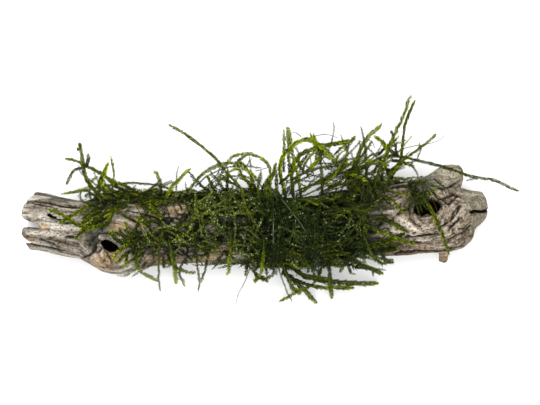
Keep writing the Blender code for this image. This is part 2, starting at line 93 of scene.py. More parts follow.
def node(tree, kind, inputs=None, stops=(), out=0, **settings):
    """Adds a shader node with its settings, its ramp's stops and its inputs' values, colours or links, and
    gives one of its outputs."""
    made = tree.nodes.new("ShaderNode" + kind)
    for name, value in settings.items():
        setattr(made, name, value)
    for socket, value in (inputs or {}).items():
        if isinstance(value, bpy.types.NodeSocket):
            tree.links.new(value, made.inputs[socket])
        else:
            set_value(made.inputs[socket], value)
    if stops:
        ramp = made.color_ramp.elements
        while len(ramp) < len(stops):
            ramp.new(0.5)
        for element, (position, shade) in zip(ramp, stops):
            element.position = position
            element.color = colour(shade)
    return made.outputs[out]


def new_material(name, values):
    """A material, its node tree and its shader's inputs, of which some have one value all over."""
    material = bpy.data.materials.new(name)
    material.use_nodes = True
    inputs = material.node_tree.nodes["Principled BSDF"].inputs
    for socket, value in values.items():
        set_value(inputs[socket], value)
    return material, material.node_tree, inputs


def lattice(cells, seed):
    """A repeatable random number from 0 to 1 for each whole-numbered place."""
    x, y, z = np.moveaxis(cells.astype(np.int64), -1, 0)
    mixed = x * 73856093 ^ y * 19349663 ^ z * 83492791 ^ seed * 2654435761
    mixed = (mixed ^ (mixed >> 13)) * 1274126177 & 0x7FFFFFFF
    mixed = (mixed ^ (mixed >> 15)) * 2246822519 & 0x7FFFFFFF
    return (mixed & 0xFFFF) / 0xFFFF


def noise(points, seed):
    """Smooth noise from 0 to 1, with lumps about one unit across."""
    low = np.floor(points)
    part = points - low
    part = part * part * (3 - 2 * part)
    total = 0
    for corner in np.ndindex(2, 2, 2):
        weight = np.prod(np.where(np.array(corner) == 1, part, 1 - part), axis=-1)
        total = total + weight * lattice(low + corner, seed)
    return total


def rough_noise(points, seed, octaves):
    """Noise with finer noise on it, from 0 to 1."""
    layers = [noise(points * 2**octave, seed + octave) / 2**octave for octave in range(octaves)]
    return sum(layers) / (2 - 2 ** (1 - octaves))


def unit(vectors):
    return vectors / np.maximum(np.linalg.norm(vectors, axis=-1, keepdims=True), 1e-9)


def fade(values, start, width):
    """0 up to a start, and from there up to 1 over a width."""
    return np.clip((values - start) / width, 0, 1)


def length_of(route):
    return float(np.linalg.norm(np.diff(np.asarray(route, float), axis=0), axis=1).sum())


def along_route(route, distance):
    """Points at these distances along a smooth curve through a route's points."""
    route = np.asarray(route, float)
    steps = np.concatenate([[0], np.cumsum(np.linalg.norm(np.diff(route, axis=0), axis=1))])
    slopes = np.gradient(route, steps, axis=0)
    left = np.clip(np.searchsorted(steps, distance) - 1, 0, len(steps) - 2)
    width = (steps[left + 1] - steps[left])[:, None]
    t = np.clip((distance - steps[left])[:, None] / width, 0, 1)
    return (
        (1 + 2 * t) * (1 - t) ** 2 * route[left]
        + t * (1 - t) ** 2 * width * slopes[left]
        + t**2 * (3 - 2 * t) * route[left + 1]
        + t**2 * (t - 1) * width * slopes[left + 1]
    )


def axis_at(x):
    """y and z of the wood's middle line."""
    return np.stack([np.interp(x, AXIS[:, 0], AXIS[:, column]) for column in (1, 2)], axis=-1)


def vectors_of(items, field):
    values = np.empty(len(items) * 3, np.float32)
    items.foreach_get(field, values)
    return values.reshape(-1, 3).astype(float)


def node_mesh(name):
    """Corners in millimetres and triangles of a solid."""
    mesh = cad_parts[name].data
    points = vectors_of(mesh.vertices, "co") / MM
    faces = np.empty(len(mesh.loops), int)
    mesh.loops.foreach_get("vertex_index", faces)
    _, first, index = np.unique(np.round(points, 3), axis=0, return_index=True, return_inverse=True)
    return points[first], index.reshape(-1)[faces].reshape(-1, 3)


def tree_of(*names):
    """A search tree of these solids, in millimetres."""
    points, faces = [], []
    for name in names:
        corners, triangles = node_mesh(name)
        faces += (triangles + len(points)).tolist()
        points += corners.tolist()
    return BVHTree.FromPolygons(points, faces)


wood_tree = tree_of("cholla_wood")
cover_tree = tree_of("cholla_wood", "moss_mat")


def ground(x, y):
    """Height of the wood or moss under a place, or -1 where there is none."""
    hit = cover_tree.ray_cast(Vector((x, y, SKY)), Vector((0, 0, -1)))[0]
    return hit.z if hit else -1


def set_attribute(mesh, name, values):
    kind, field = ("FLOAT_VECTOR", "vector") if values.ndim == 2 else ("FLOAT", "value")
    mesh.attributes.new(name, kind, "POINT").data.foreach_set(field, values.astype(np.float32).ravel())


def reach_in(points, patch):
    """Distance of each point from a patch's middle in plan, where 1 is the patch's edge."""
    x, y = place(patch[:2])
    return np.hypot((points[..., 0] - x) / (patch[2] * PX), (points[..., 1] - y) / (patch[3] * PX))


# Wood

WOOD_VOXEL = 0.47
WOOD_RADIUS = 10.5  # round which the grain is wound
BORE_REACH = 9.5  # the bore's wall is nearer to the middle line than this
# How far each kind of relief stands out or goes in.
RIDGE, THREAD, LUMP, SPLIT, PIT, SEAM = 0.75, 0.55, 0.5, 0.45, 0.5, 0.3
DEEPEST, HIGHEST = -1.8, 0.9
CRACK_WIDTH = 0.035  # as a share of the noise that cracks follow
CREVICE_WANDER = 0.25
# How fine the noise of each relief is along and across the grain, in lumps per millimetre.
RIDGE_NOISE, THREAD_NOISE = (0.05, 0.75, 0.75), (0.16, 2.1, 2.1)
SPLIT_NOISE, SPLIT_PLACES = (0.055, 1.0, 1.0), (0.08, 0.3, 0.3)
LUMP_NOISE, PIT_NOISE, SEAM_NOISE, RIM_NOISE = 0.16, 1.15, 0.42, 0.42
WANDER_NOISE, PATCH_NOISE, PATCH_WOBBLE = 0.7, 0.9, 0.5
ROT_START = 30  # x from which the wood is rotten
RAGGEDNESS = 2.0
# Where the grain parts and flows round a knot: x, angle, radius.
GRAIN_EYES = ((-51.2, 1.81, 5.2), (50.2, 1.28, 6.4), (-27, 0.9, 3.0), (14, 2.4, 3.0))
# Crevices: depth, half width, and their route in pixels.
CREVICES = (
    (1.4, 0.36, ((60, 248), (50, 244), (42, 241))), (2.2, 0.50, ((68, 237.5), (72, 236.8), (76, 237.8))),
    (0.9, 0.34, ((84, 258), (90, 256), (95, 252), (98, 247))),
    (0.7, 0.24, ((36, 200.5), (48, 202), (62, 206), (80, 207))),
    (0.5, 0.22, ((38, 204), (50, 206), (58, 209))), (0.8, 0.30, ((64, 221), (69, 222.5), (73, 222.5))),
    (0.9, 0.30, ((28, 243), (38, 245), (50, 248.5), (62, 252))),
    (2.4, 0.42, ((448, 242), (453, 238), (460, 234), (466, 231), (469, 226))),
    (1.3, 0.36, ((409, 244.2), (413, 243.2), (419, 243.8))),
    (0.8, 0.36, ((437, 199.5), (446, 196.5), (453, 194.2))),
    (0.8, 0.30, ((90, 246), (95, 238), (101, 233), (109, 233))),
    (0.8, 0.30, ((93, 252), (97, 244), (101, 240))), (0.6, 0.26, ((100, 252), (104, 247), (106, 243))),
    (0.5, 0.26, ((107, 250), (110, 256), (113, 262))),
    (0.9, 0.34, ((438, 197), (447, 204), (451, 200), (456, 196))),
    (0.7, 0.30, ((449, 222), (452, 213), (457, 207))),
    (0.4, 0.30, ((430, 185), (441, 189), (452, 186), (459, 181))),
    (0.7, 0.32, ((409, 219), (414, 224), (419, 226))),
    (0.6, 0.30, ((433, 228), (441, 226), (449, 221), (455, 214), (459, 206))),
    (0.6, 0.30, ((447, 231), (452, 225), (458, 219))), (0.8, 0.36, ((404, 238), (420, 236), (436, 234))),
    (0.9, 0.40, ((395, 254), (415, 251.5), (440, 252.5), (462, 247))),
)
# Tan patches where the grey skin is worn off.
TAN_PATCHES = (
    (165, 260, 26, 6), (208, 257, 16, 7), (460.5, 179, 3.5, 8), (431, 221, 5, 7), (437, 195.5, 4, 3),
    (450, 234, 5, 4), (446, 257, 9, 8), (421, 247, 12, 3), (118, 226, 12, 5), (146, 206, 12, 6),
    (141, 222, 12, 6), (178, 209, 16, 6), (112, 257, 15, 8), (102, 262, 14, 9), (45, 226.5, 6, 4),
    (32, 240, 6, 2.5), (230, 249, 12, 5),
)
# Dark grey-green stains.
STAINS = (
    (102, 228, 14, 8), (110, 234, 10, 5), (95, 240, 8, 11), (425, 184, 10, 8), (416, 203, 12, 10),
    (60, 200, 20, 3), (445, 264, 12, 3),
)
# Smooth olive-grey wood with little grain.
SMOOTH_PATCHES = (
    (442, 178, 24, 13), (474, 200, 15, 14), (478, 222, 10, 8),
)
# Wood bleached palest.
PALE_PATCHES = (
    (414, 229, 24, 13), (56, 224, 30, 14), (76, 232, 10, 12), (40, 234, 16, 4), (455, 218, 8, 10),
)
PEG_PATCH = (445, 260, 9, 9)
KNOT_ROT = (100, 255, 26, 18)
SCAB, SCAB_RISE = (443, 212, 7, 8), 0.7
# Cuts that are drawn together to narrow cracks: x, middle and half width of the cut, then of the crack.
END_CRACK = np.array(
    [
        (60.6, -2.9, 0.01, -2.3, 0.01), (62.5, -3.05, 0.45, -2.8, 0.22), (64.2, -3.02, 0.63, -3.5, 0.5),
        (65.5, -3.0, 0.8, -3.1, 0.45), (67.5, -2.98, 1.02, -3.5, 0.34), (70, -2.95, 1.35, -3.1, 0.42),
    ]
)
PRONG_CRACK = np.array(
    [
        (-79.5, -12.4, 1.2, -12.4, 1.1), (-77.4, -13.0, 0.85, -13.2, 0.4), (-76, -13.3, 0.75, -13.6, 0.14),
        (-72.3, -14.2, 0.5, -14.3, 0.12), (-69.0, -14.6, 0.02, -14.6, 0.02),
    ]
)
END_CRACK_REACH, END_CRACK_BOTTOM = 4.0, 8.5
PRONG_CRACK_REACH = 1.9
# Holes whose rims are ragged: x, y, and how far round the middle the rim wanders.
RAGGED_HOLES = ((-51.2, -14.2, 4.5), (50.2, -2.1, 6.0), (-68.2, -5.3, 5.0))
# The broken branch's bulge: x, half length and height. Then its end: place, reach, and slant.
BULGE_X, BULGE_LENGTH, BULGE_HEIGHT = 51.5, 5.0, 2.3
BRANCH_END, BRANCH_END_REACH, BRANCH_END_SLANT = (61.3, 7.8), 4.5, 0.42
# Where the knobby end's outline is pushed, seen from above: pixel, reach, and the push.
PUSHES = (
    ((441, 169), 2.4, (0, 0.8)), ((449, 168), 2.4, (0, 1.2)), ((461, 169), 1.6, (0.4, 0)),
    ((465, 186), 1.7, (-1.3, 0)), ((482, 196), 2.3, (0.3, 1.1)), ((480, 230), 2.4, (-1.3, 0.5)),
)
# Shades of the wood by its tone.
GREY_SKIN = ((0.33, "#3A3127"), (0.42, "#6A6154"), (0.50, "#8E867A"), (0.58, "#B0A99D"), (0.68, "#D4CFC6"))
WORN_WOOD = ((0.34, "#5E4A32"), (0.50, "#9D886A"), (0.68, "#CDBAA0"))
POLISHED_WOOD = ((0.40, "#625C4B"), (0.50, "#8E8875"), (0.60, "#ABA592"))
# How much darker the wood under the moss is painted, partly for damp and partly as shade: x, weight.
DAMP_AND_SHADE_UNDER_MOSS = np.array(
    [(-44, 0.0), (-36, 0.2), (-22, 0.3), (-8, 0.45), (0, 0.9), (28, 0.9), (36, 0.4), (42, 0.0)]
)
# A patch painted darker, partly for damp and partly as shade.
DAMP_AND_SHADE_PATCH = (381, 207, 9, 6)
WOOD_SHADE = np.array([(-70, -0.12), (-40, -0.12), (30, -0.1), (42, -0.26)])  # x, how much darker the skin is
# Dry wood between the moss, where neither damp nor painted shade darkens it.
DRY_UNSHADED_PATCHES = (
    (216, 251, 26, 11), (212, 229, 9, 7), (184, 210, 16, 7), (394, 198, 12, 20), (390, 237, 18, 10),
)


def patch_weight(points, patch):
    """How much each point is in a patch, from 0 to 1, on the upper side only."""
    wobble = PATCH_WOBBLE * (noise(points * PATCH_NOISE, 5) - 0.5)
    upper = points[:, 2] > MIDDLE_HEIGHT - 3
    return np.clip(1.6 - 1.3 * (reach_in(points, patch) + wobble), 0, 1) * upper


def painted(points, patches):
    """How much each point is in any of these patches."""
    return np.max([patch_weight(points, patch) for patch in patches], axis=0)


def bell(points, spot, size):
    """1 over a spot, and less with distance in plan."""
    return np.exp(-(((points[:, :2] - spot) ** 2).sum(axis=1) / size**2))


def draw_together(points, cut, reach, weight):
    """Moves the wood on both sides of a cut along X towards its middle, so that only a crack is left."""
    x, y = points[:, 0], points[:, 1]
    middle, half, crack_middle, crack_half = [np.interp(x, cut[:, 0], column) for column in cut.T[1:]]
    offset = y - middle
    away = np.abs(offset)
    closed = crack_half + (away - half) * (reach - crack_half) / (reach - half)
    closed = np.where(away < half, away * crack_half / half, closed)
    moved = middle + (crack_middle - middle) * (1 - away / reach) + np.sign(offset) * closed
    near = (away < reach) & (x > cut[0, 0] - 1) & (x < cut[-1, 0] + 3)
    y += np.where(near, weight * (moved - y), 0)


def distance_to_route(points, route):
    """Distance in plan from each point to a route of pixels."""
    spots = np.array([place(pixel) for pixel in route])
    best = np.full(len(points), np.inf)
    for start, end in zip(spots, spots[1:]):
        run = end - start
        share = np.clip(((points[:, :2] - start) @ run) / (run @ run), 0, 1)
        best = np.minimum(best, np.linalg.norm(points[:, :2] - start - share[:, None] * run, axis=1))
    return best


def grain_places(points):
    """Places in the wood's own grain: along it, and wound round the middle line."""
    x = points[:, 0]
    across, up = (points[:, 1:] - axis_at(x)).T
    angle = np.arctan2(up, across)
    radius = np.hypot(up, across)
    along, turn = x.copy(), angle.copy()
    for eye_x, eye_angle, size in GRAIN_EYES:
        ahead = x - eye_x
        aside = (np.mod(angle - eye_angle + math.pi, 2 * math.pi) - math.pi) * WOOD_RADIUS
        push = size**2 / np.maximum(ahead**2 + aside**2, size**2 * 0.5)
        along += ahead * push
        turn -= aside * push / WOOD_RADIUS
    return np.stack([along, radius * np.cos(turn), radius * np.sin(turn)], axis=1)


def weathered_wood_material():
    """Cactus wood bleached grey by weather: pale dry fibres, brown in the grooves and tan where the skin is
    worn off. The cracks and the inside of the bore are painted near black as shade, and the wood under the
    moss is painted darker, partly for damp and partly as shade. It is matte all over."""
    values = {"Roughness": 0.85, "IOR": 1.5, "Specular IOR Level": 0.12}
    material, tree, shader = new_material("weathered_cholla_wood", values)
    grain = node(tree, "Attribute", out="Vector", attribute_name="grain")
    groove, crack, tan, stain, painted_bore_shade, damp, rotten, smooth = [
        node(tree, "Attribute", out="Fac", attribute_name=name)
        for name in ("groove", "crack", "tan", "stain", "painted_bore_shade", "damp", "rotten", "smooth")
    ]
    place_on = node(tree, "TexCoord", out="Object")

    # Bundles of fibre are about 0.8 mm wide and 12 mm long, single fibres 0.3 mm wide.
    bundle_place = node(tree, "Mapping", {"Vector": grain, "Scale": (0.08, 1.25, 1.25)})
    bundles = node(tree, "TexNoise", {"Vector": bundle_place, "Scale": 1.0, "Detail": 4.0, "Roughness": 0.6})
    fibre_place = node(tree, "Mapping", {"Vector": grain, "Scale": (0.3, 3.6, 3.6)})
    fibres = node(tree, "TexNoise", {"Vector": fibre_place, "Scale": 1.0, "Detail": 3.0, "Roughness": 0.65})
    # Blotches are about 4 mm across, flecks 0.7 mm.
    blotches = node(tree, "TexNoise", {"Vector": place_on, "Scale": 260.0, "Detail": 3.0, "Roughness": 0.6})
    flecks = node(tree, "TexNoise", {"Vector": place_on, "Scale": 1500.0, "Detail": 2.0, "Roughness": 0.7})
    tone = 0.0
    for source, share in ((bundles, 0.36), (fibres, 0.34), (blotches, 0.18), (flecks, 0.14), (groove, 0.2)):
        tone = node(tree, "Math", {0: source, 1: share, 2: tone}, operation="MULTIPLY_ADD")
    ramps = (GREY_SKIN, WORN_WOOD, POLISHED_WOOD)
    shade, worn, polished = [node(tree, "ValToRGB", {"Fac": tone}, stops) for stops in ramps]
    much = node(tree, "Math", {0: smooth, 1: 0.75}, operation="MULTIPLY")
    for share, over in ((tan, worn), (much, polished), (stain, "#3A3F33")):
        shade = node(tree, "Mix", {0: share, 6: shade, 7: over}, out=2, data_type="RGBA")
    fleck = node(tree, "ValToRGB", {"Fac": flecks}, ((0.34, "#9E978E"), (0.48, "#FFFFFF")))
    shade = node(tree, "Mix", {0: 1.0, 6: shade, 7: fleck}, out=2, data_type="RGBA", blend_type="MULTIPLY")
    # Rotten wood has shrunk into plates about 5 mm across, with cracks between them that are painted dark
    # as shade.
    shift = blotches.node.outputs["Color"]
    shift = node(tree, "VectorMath", {0: shift, 1: (-0.5, -0.5, -0.5)}, operation="ADD")
    shift = node(tree, "VectorMath", {0: shift, "Scale": 9 * MM}, operation="SCALE")
    plate_place = node(tree, "VectorMath", {0: place_on, 1: shift}, operation="ADD")
    plates = node(tree, "TexVoronoi", {"Vector": plate_place, "Scale": 190.0}, feature="DISTANCE_TO_EDGE")
    gap = node(tree, "MapRange", {0: plates, 1: 0.005, 2: 0.045, 3: 0.5, 4: 0.0})
    gap = node(tree, "Math", {0: gap, 1: rotten}, operation="MULTIPLY")
    # Painted shade: dark between the rotten plates, and near black in the cracks and inside the bore. The
    # wood under the moss is painted darker, partly for damp and partly as shade.
    for share, over in ((gap, "#2B2118"), (damp, "#1E1B10"), (crack, "#1B130B"), (painted_bore_shade, "#2A2017")):
        shade = node(tree, "Mix", {0: share, 6: shade, 7: over}, out=2, data_type="RGBA")
    tree.links.new(shade, shader["Base Color"])

    height = 0.0
    for source, share in ((fibres, 0.6), (bundles, 0.9), (flecks, 0.5), (gap, -0.5)):
        height = node(tree, "Math", {0: source, 1: share, 2: height}, operation="MULTIPLY_ADD")
    bump = node(tree, "Bump", {"Height": height, "Strength": 0.9, "Distance": 0.35 * MM})
    tree.links.new(bump, shader["Normal"])
    return material


def apply_modifier(piece, kind, **settings):
    modifier = piece.modifiers.new(kind.title(), kind)
    for name, value in settings.items():
        setattr(modifier, name, value)
    bpy.ops.object.modifier_apply(modifier=modifier.name)


def fine_wood():
    """A copy of the solid as one fine, even mesh."""
    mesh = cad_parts["cholla_wood"].data.copy()
    mesh.materials.clear()
    wood = bpy.data.objects.new("wood", mesh)
    bpy.context.scene.collection.objects.link(wood)
    bpy.ops.object.select_all(action="DESELECT")
    wood.select_set(True)
    bpy.context.view_layer.objects.active = wood
    bpy.ops.object.mode_set(mode="EDIT")
    bpy.ops.mesh.select_all(action="SELECT")
    bpy.ops.mesh.remove_doubles(threshold=0.00001)
    bpy.ops.object.mode_set(mode="OBJECT")
    apply_modifier(wood, "REMESH", mode="VOXEL", voxel_size=WOOD_VOXEL * MM)
    apply_modifier(wood, "SMOOTH", factor=0.5, iterations=4)
    return wood


def reshape_ends(points):
    """Ragged hole rims, the broken branch, the knobby end's outline and the narrow cracks."""
    x, y, z = points.T
    for *spot, size in RAGGED_HOLES:
        near = bell(points, spot, size) * (z > MIDDLE_HEIGHT)
        x += RAGGEDNESS * near * (rough_noise(points * RIM_NOISE, 13, 2) - 0.5)
        y += RAGGEDNESS * near * (rough_noise(points * RIM_NOISE, 17, 2) - 0.5)
    flank = fade(y, 0.5, 3) * fade(z, 2, 4)
    y += BULGE_HEIGHT * flank * np.exp(-(((x - BULGE_X) / BULGE_LENGTH) ** 2))
    x += BRANCH_END_SLANT * bell(points, BRANCH_END, BRANCH_END_REACH) * (y - BRANCH_END[1])
    for pixel, size, push in PUSHES:
        near = bell(points, place(pixel), size) * fade(z, 0, 3)
        points[:, :2] += near[:, None] * push
    draw_together(points, END_CRACK, END_CRACK_REACH, fade(z, END_CRACK_BOTTOM, 1))
    draw_together(points, PRONG_CRACK, PRONG_CRACK_REACH, 1)


def cholla_wood():
    """The wood with its grain, cracks and pits in its surface."""
    wood = fine_wood()
    mesh = wood.data
    points = vectors_of(mesh.vertices, "co") / MM
    normals = vectors_of(mesh.vertices, "normal")
    x, _, z = points.T
    outward = points[:, 1:] - axis_at(x)
    facing = (unit(outward) * normals[:, 1:]).sum(axis=1)
    # Inner faces of the bore, which are painted near black as shade.
    painted_bore_shade = np.clip((-facing - 0.1) * 1.6, 0, 1) * (np.linalg.norm(outward, axis=1) < BORE_REACH)
    outer = np.clip((facing + 0.2) * 2, 0, 1)
    reshape_ends(points)
    pale = painted(points, PALE_PATCHES)
    smooth = np.minimum(1.4 * painted(points, SMOOTH_PATCHES), 1) * (z > 8)
    rot = np.clip(fade(x, ROT_START, 8) + 0.4 * patch_weight(points, KNOT_ROT), 0, 1) * (1 - smooth)
    rot *= 1 - patch_weight(points, PEG_PATCH)

    grain = grain_places(points)
    ridges = rough_noise(grain * RIDGE_NOISE, 11, 3) - 0.5
    threads = rough_noise(grain * THREAD_NOISE, 23, 2) - 0.5
    lumps = noise(points * LUMP_NOISE, 31) - 0.5
    split = np.abs(noise(grain * SPLIT_NOISE, 47) - 0.5)
    where = np.clip((noise(grain * SPLIT_PLACES, 53) - 0.45) * 6, 0, 1)
    crack = np.exp(-((split / CRACK_WIDTH) ** 2)) * where * 0.8 * (1 - 0.6 * rot) * (1 - smooth)
    rise = (RIDGE * ridges + THREAD * threads) * (1 - 0.45 * rot) * (1 - 0.8 * smooth)
    rise = rise + LUMP * lumps - SPLIT * crack
    # Pits and seams of rotten wood, thickest round the knots and at the knobby end.
    pits = np.clip((noise(points * PIT_NOISE, 61) - 0.66) * 7, 0, 1) * rot
    seams = np.exp(-((np.abs(noise(points * SEAM_NOISE, 67) - 0.5) / CRACK_WIDTH) ** 2))
    seams = seams * fade(x, ROT_START + 6, 8) * (1 - smooth) * (1 - pale)
    rise -= PIT * pits + SEAM * seams
    crack = np.maximum.reduce([crack, pits * 0.8, seams * 0.6])
    upper = normals[:, 2] > 0.15
    wander = CREVICE_WANDER * (noise(points * WANDER_NOISE, 71) - 0.5)
    for depth, half_width, route in CREVICES:
        near = np.exp(-(((distance_to_route(points, route) + wander) / half_width) ** 2)) * upper
        rise -= depth * near
        crack = np.maximum(crack, np.minimum(1.5 * near, 1))
    rise += SCAB_RISE * patch_weight(points, SCAB) * upper
    # The two flats underneath, and what comes within reach of them, stay as they are.
    points += normals * (np.clip(rise, DEEPEST, HIGHEST) * outer * fade(z, 0.25, 1))[:, None]
    z[:] = np.maximum(z, 0)
    mesh.vertices.foreach_set("co", (points * MM).ravel())

    # Darker under the moss, partly for damp and partly as painted shade.
    damp = np.interp(x, *DAMP_AND_SHADE_UNDER_MOSS.T) * (z > 4)
    for patch in DRY_UNSHADED_PATCHES:
        damp *= 1 - patch_weight(points, patch)
    groove = np.clip(ridges * 2 + threads * 1.2, -1, 1) * (1 - 0.6 * smooth)
    # The cracks and the bore's inner faces are painted dark as shade, and the wood under the moss is painted
    # darker, partly for damp and partly as shade.
    marks = {
        "grain": grain,
        "groove": groove + 0.28 * pale + np.interp(x, *WOOD_SHADE.T),
        "crack": np.clip(crack, 0, 1) * outer,
        "tan": np.maximum(0.3 * fade(x, ROT_START, 12) * (1 - smooth), painted(points, TAN_PATCHES)),
        "stain": 0.8 * painted(points, STAINS),
        "damp": np.maximum(damp, 0.7 * patch_weight(points, DAMP_AND_SHADE_PATCH)),
        "rotten": rot,
        "smooth": smooth,
        "painted_bore_shade": painted_bore_shade,
    }
    for name, values in marks.items():
        set_attribute(mesh, name, values)
    mesh.materials.append(weathered_wood_material())
    mesh.shade_smooth()
    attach(wood, BODY)
    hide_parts("cholla_wood")


cholla_wood()


# Moss

# How each kind of shoot grows: leaf spacing, leaf length and width, the leaf's angle from the stem in
# degrees, the stem's radius, and the size of the leaves at its root as a share.
KINDS = {
    "leafy": (0.33, 1.00, 0.42, 38, 0.16, 0.75), "frond": (0.24, 1.40, 0.46, 31, 0.15, 0.75),
    "feather": (0.24, 1.30, 0.44, 31, 0.13, 0.75), "fan": (0.26, 1.45, 0.48, 33, 0.18, 0.8),
    "dense": (0.36, 1.00, 0.42, 38, 0.14, 0.8), "slim": (0.26, 1.15, 0.44, 28, 0.20, 0.9),
    "bushy": (0.25, 1.00, 0.46, 38, 0.20, 0.85), "wand": (0.24, 0.78, 0.42, 30, 0.24, 0.7),
    "serrate": (0.38, 0.90, 0.38, 42, 0.17, 0.7), "twig": (0.42, 0.62, 0.34, 38, 0.24, 0.8),
    "sprig": (0.32, 0.92, 0.44, 36, 0.20, 0.45), "wiry": (0.46, 0.62, 0.30, 44, 0.15, 0.6),
    "net": (0.44, 0.58, 0.30, 42, 0.15, 0.7), "hair": (1.20, 0.30, 0.16, 40, 0.19, 0.6),
    "mat": (0.38, 0.74, 0.36, 48, 0.11, 0.8),
}
FLAT_KINDS = ("feather", "frond", "fan", "slim")  # leaves in two ranks only
TIP_AGES = {"dense": 0.6, "bushy": 0.4, "fan": 0.5, "wiry": 0.6, "net": 0.7, "hair": 0.8}
# How brown the bare stem is: 0.5 green, 1 brown.
BARENESS = {"hair": 1.0, "wiry": 0.75, "sprig": 0.8, "twig": 0.85, "net": 0.65}
USUAL_BARENESS = 0.55
# The CAD's shoots that aren't plain, by side and number: kind, and age at the tip.
OTHER_SHOOTS = {
    "left": {
        1: ("bushy", 0.42), 2: ("bushy", 0.42), 3: ("frond", 0.15), 5: ("twig", 0.45), 6: ("bushy", 0.40),
        7: ("bushy", 0.42), 8: ("bushy", 0.30),
    },
    "upper": {
        1: ("sprig", 0.55), 2: ("wiry", 0.40), 3: ("leafy", 0.30), 5: ("feather", 0.30), 7: ("frond", 0.15),
        8: ("frond", 0.25), 10: ("twig", 0.70), 11: ("frond", 0.10),
    },
    "right": {
        1: ("bushy", 0.40), 2: ("wand", 0.55), 3: ("sprig", 0.45), 4: ("hair", 0.85), 5: ("sprig", 0.60),
        6: ("slim", 0.44), 7: ("leafy", 0.48), 8: ("feather", 0.40),
    },
    "lower": {
        2: ("twig", 0.60), 3: ("frond", 0.30), 4: ("twig", 0.65), 5: ("feather", 0.25), 6: ("hair", 0.85),
        8: ("fan", 0.55), 9: ("fan", 0.50), 10: ("leafy", 0.30), 11: ("feather", 0.40), 12: ("fan", 0.55),
        13: ("fan", 0.70),
    },
}
PLAIN_SHOOT = ("leafy", 0.25)
TRIMMED = {"right_shoot_6": 2}  # points taken off at the tip
ROOT_AGE = 0.92
# Shades of a leaf by its age, of a stem by its bareness, and of a leaf painted tan or with a painted
# glint, by its tone.
YOUNG_LEAF = ((0.00, "#AAB644"), (0.22, "#87962C"), (0.45, "#6C761C"))
OLD_LEAF = ((0.65, "#4B5418"), (0.85, "#273414"), (1.00, "#0C1E10"))
MOSS_STEM = ((0.5, "#35470F"), (1.0, "#2C2414"))
TAN_TO_PAINTED_GLINT = ((0.1, "#85764F"), (0.7, "#98A67A"))
# For each side's shoots: the length over which they leave the mat, near which they are painted darker as
# shade, and least and greatest tone.
SIDES = {
    "left": (6, 0.4, 0.8), "upper": (6, 0.58, 0.92), "right": (8, 0.45, 0.9), "lower": (12, 0.6, 1.0),
    "loose": (6, 0.32, 0.9),
}

# Least share and spread of a leaf's angle, length and width.
LEAN, LENGTH, WIDTH = (0.6, 0.8), (0.6, 0.75), (0.8, 0.4)
TILT, FLAT_TILT = 0.35, 0.15  # how much leaves lean out of their rank
THIRD_RANK = 0.75  # length of the leaves between the two ranks at the sides
LEAF_FOLD = 0.2  # rise of a leaf's sides over its middle, as a share of its width
LEAF_WIDEST = 0.42
LEAF_CURL = 0.12
LEAF_AGES = np.array([0.14, -0.10, 0, 0])  # added to a leaf's age at its root, tip and sides
LEAF_FACES = ((0, 1, 2), (0, 2, 3), (0, 3, 1), (1, 3, 2))
AGE_SPREAD, TONE_SPREAD = 0.09, 0.36
# Leaves deep in the mat are painted darker as shade.
TONE_KEPT_IN_PAINTED_SHADE = 0.3  # share of its tone that a leaf keeps deep in the mat
OPEN_YOUTH = 0.7  # how far a leaf in the open is as young as the tip's, at least
# Towards its tip a shoot's leaves get younger, smaller and more upright, over so many millimetres.
TIP_FADE, TIP_YOUTH, TIP_SHRINK = 1.5, 0.12, 0.7
UPRIGHT_FADE, UPRIGHT = 0.8, 0.5
STEM_STEP, STEM_TAPER, STEM_TWIST = 0.8, 0.45, 0.5
STEM_CORNERS = np.radians((90, 210, 330))
STEM_BENDS, BENDS_START, BEND_NOISE = 0.9, 3, 0.22
TWIST_NOISE, ROLL_SPREAD = 0.35, 0.4
# A CAD shoot's middle line: samples along each edge, the line's steps and blur, and how far its ends go on.
EDGE_SAMPLES, LINE_STEP, LINE_BLUR = 9, 0.9, 1.8
ROOT_REACH, TIP_REACH, ROOT_DEPTH = 1.2, 2.0, 0.8
MOSS_CLEARANCE = 0.7
MOSS_FLOOR = 0.35
ARCH, FULL_ARCH = 3.0, 14  # height of the bow of a shoot that stands clear, and the length that it needs
UP = np.array([0.05, 0, 1.0])  # for a shoot that stands clear

# Shoots that stand beside or on the CAD's own: kind, height of the tip, or None where it lies on what is
# under it, and pixels from root to tip.
LEFT_SHOOTS = (
    ("leafy", 11, (78, 150), (81, 147), (80, 141.7)), ("feather", 14, (86, 168), (89, 160), (87.5, 153)),
    ("leafy", 9, (83.3, 168.3), (76.7, 170), (68.3, 180), (66, 184)),
    ("leafy", 14, (99.2, 188.3), (101.7, 178.3), (105, 170.8), (108.3, 165)),
    ("bushy", 15, (103, 177.7), (101.2, 183), (97.7, 188.3)),
    ("leafy", 16, (112, 192), (108, 186), (103.9, 178.6)),
    ("serrate", 20, (92, 203), (84, 201), (82, 195), (86, 188), (94, 186)),
    ("serrate", 18, (84, 196), (90, 193), (98, 196)),
    ("serrate", 15, (92, 200), (90, 190), (92, 182), (99, 176)),
    ("serrate", 14, (96, 196), (84, 190), (74, 192), (62, 194)),
    ("feather", 18, (118, 200), (108, 197), (98, 196)),
    ("wiry", 16, (112, 199), (104, 191), (92, 180), (81, 172), (79, 165)),
    ("wiry", 15, (112, 199), (104, 190), (98, 179), (94, 172)),
    ("wiry", None, (103, 228), (108, 238), (113, 247), (119, 256)),
    ("leafy", None, (140, 238), (130, 243), (121, 250), (114, 260)),
    ("leafy", None, (135, 250), (124, 256), (117, 264)),
    ("leafy", None, (142, 255), (130, 262), (122, 268)),
    ("sprig", None, (130, 236), (118, 233), (108, 231)),
    ("sprig", None, (126, 203), (110, 211), (96, 219), (84, 228)),
    ("sprig", None, (128, 206), (112, 214), (98, 224), (88, 232)),
)
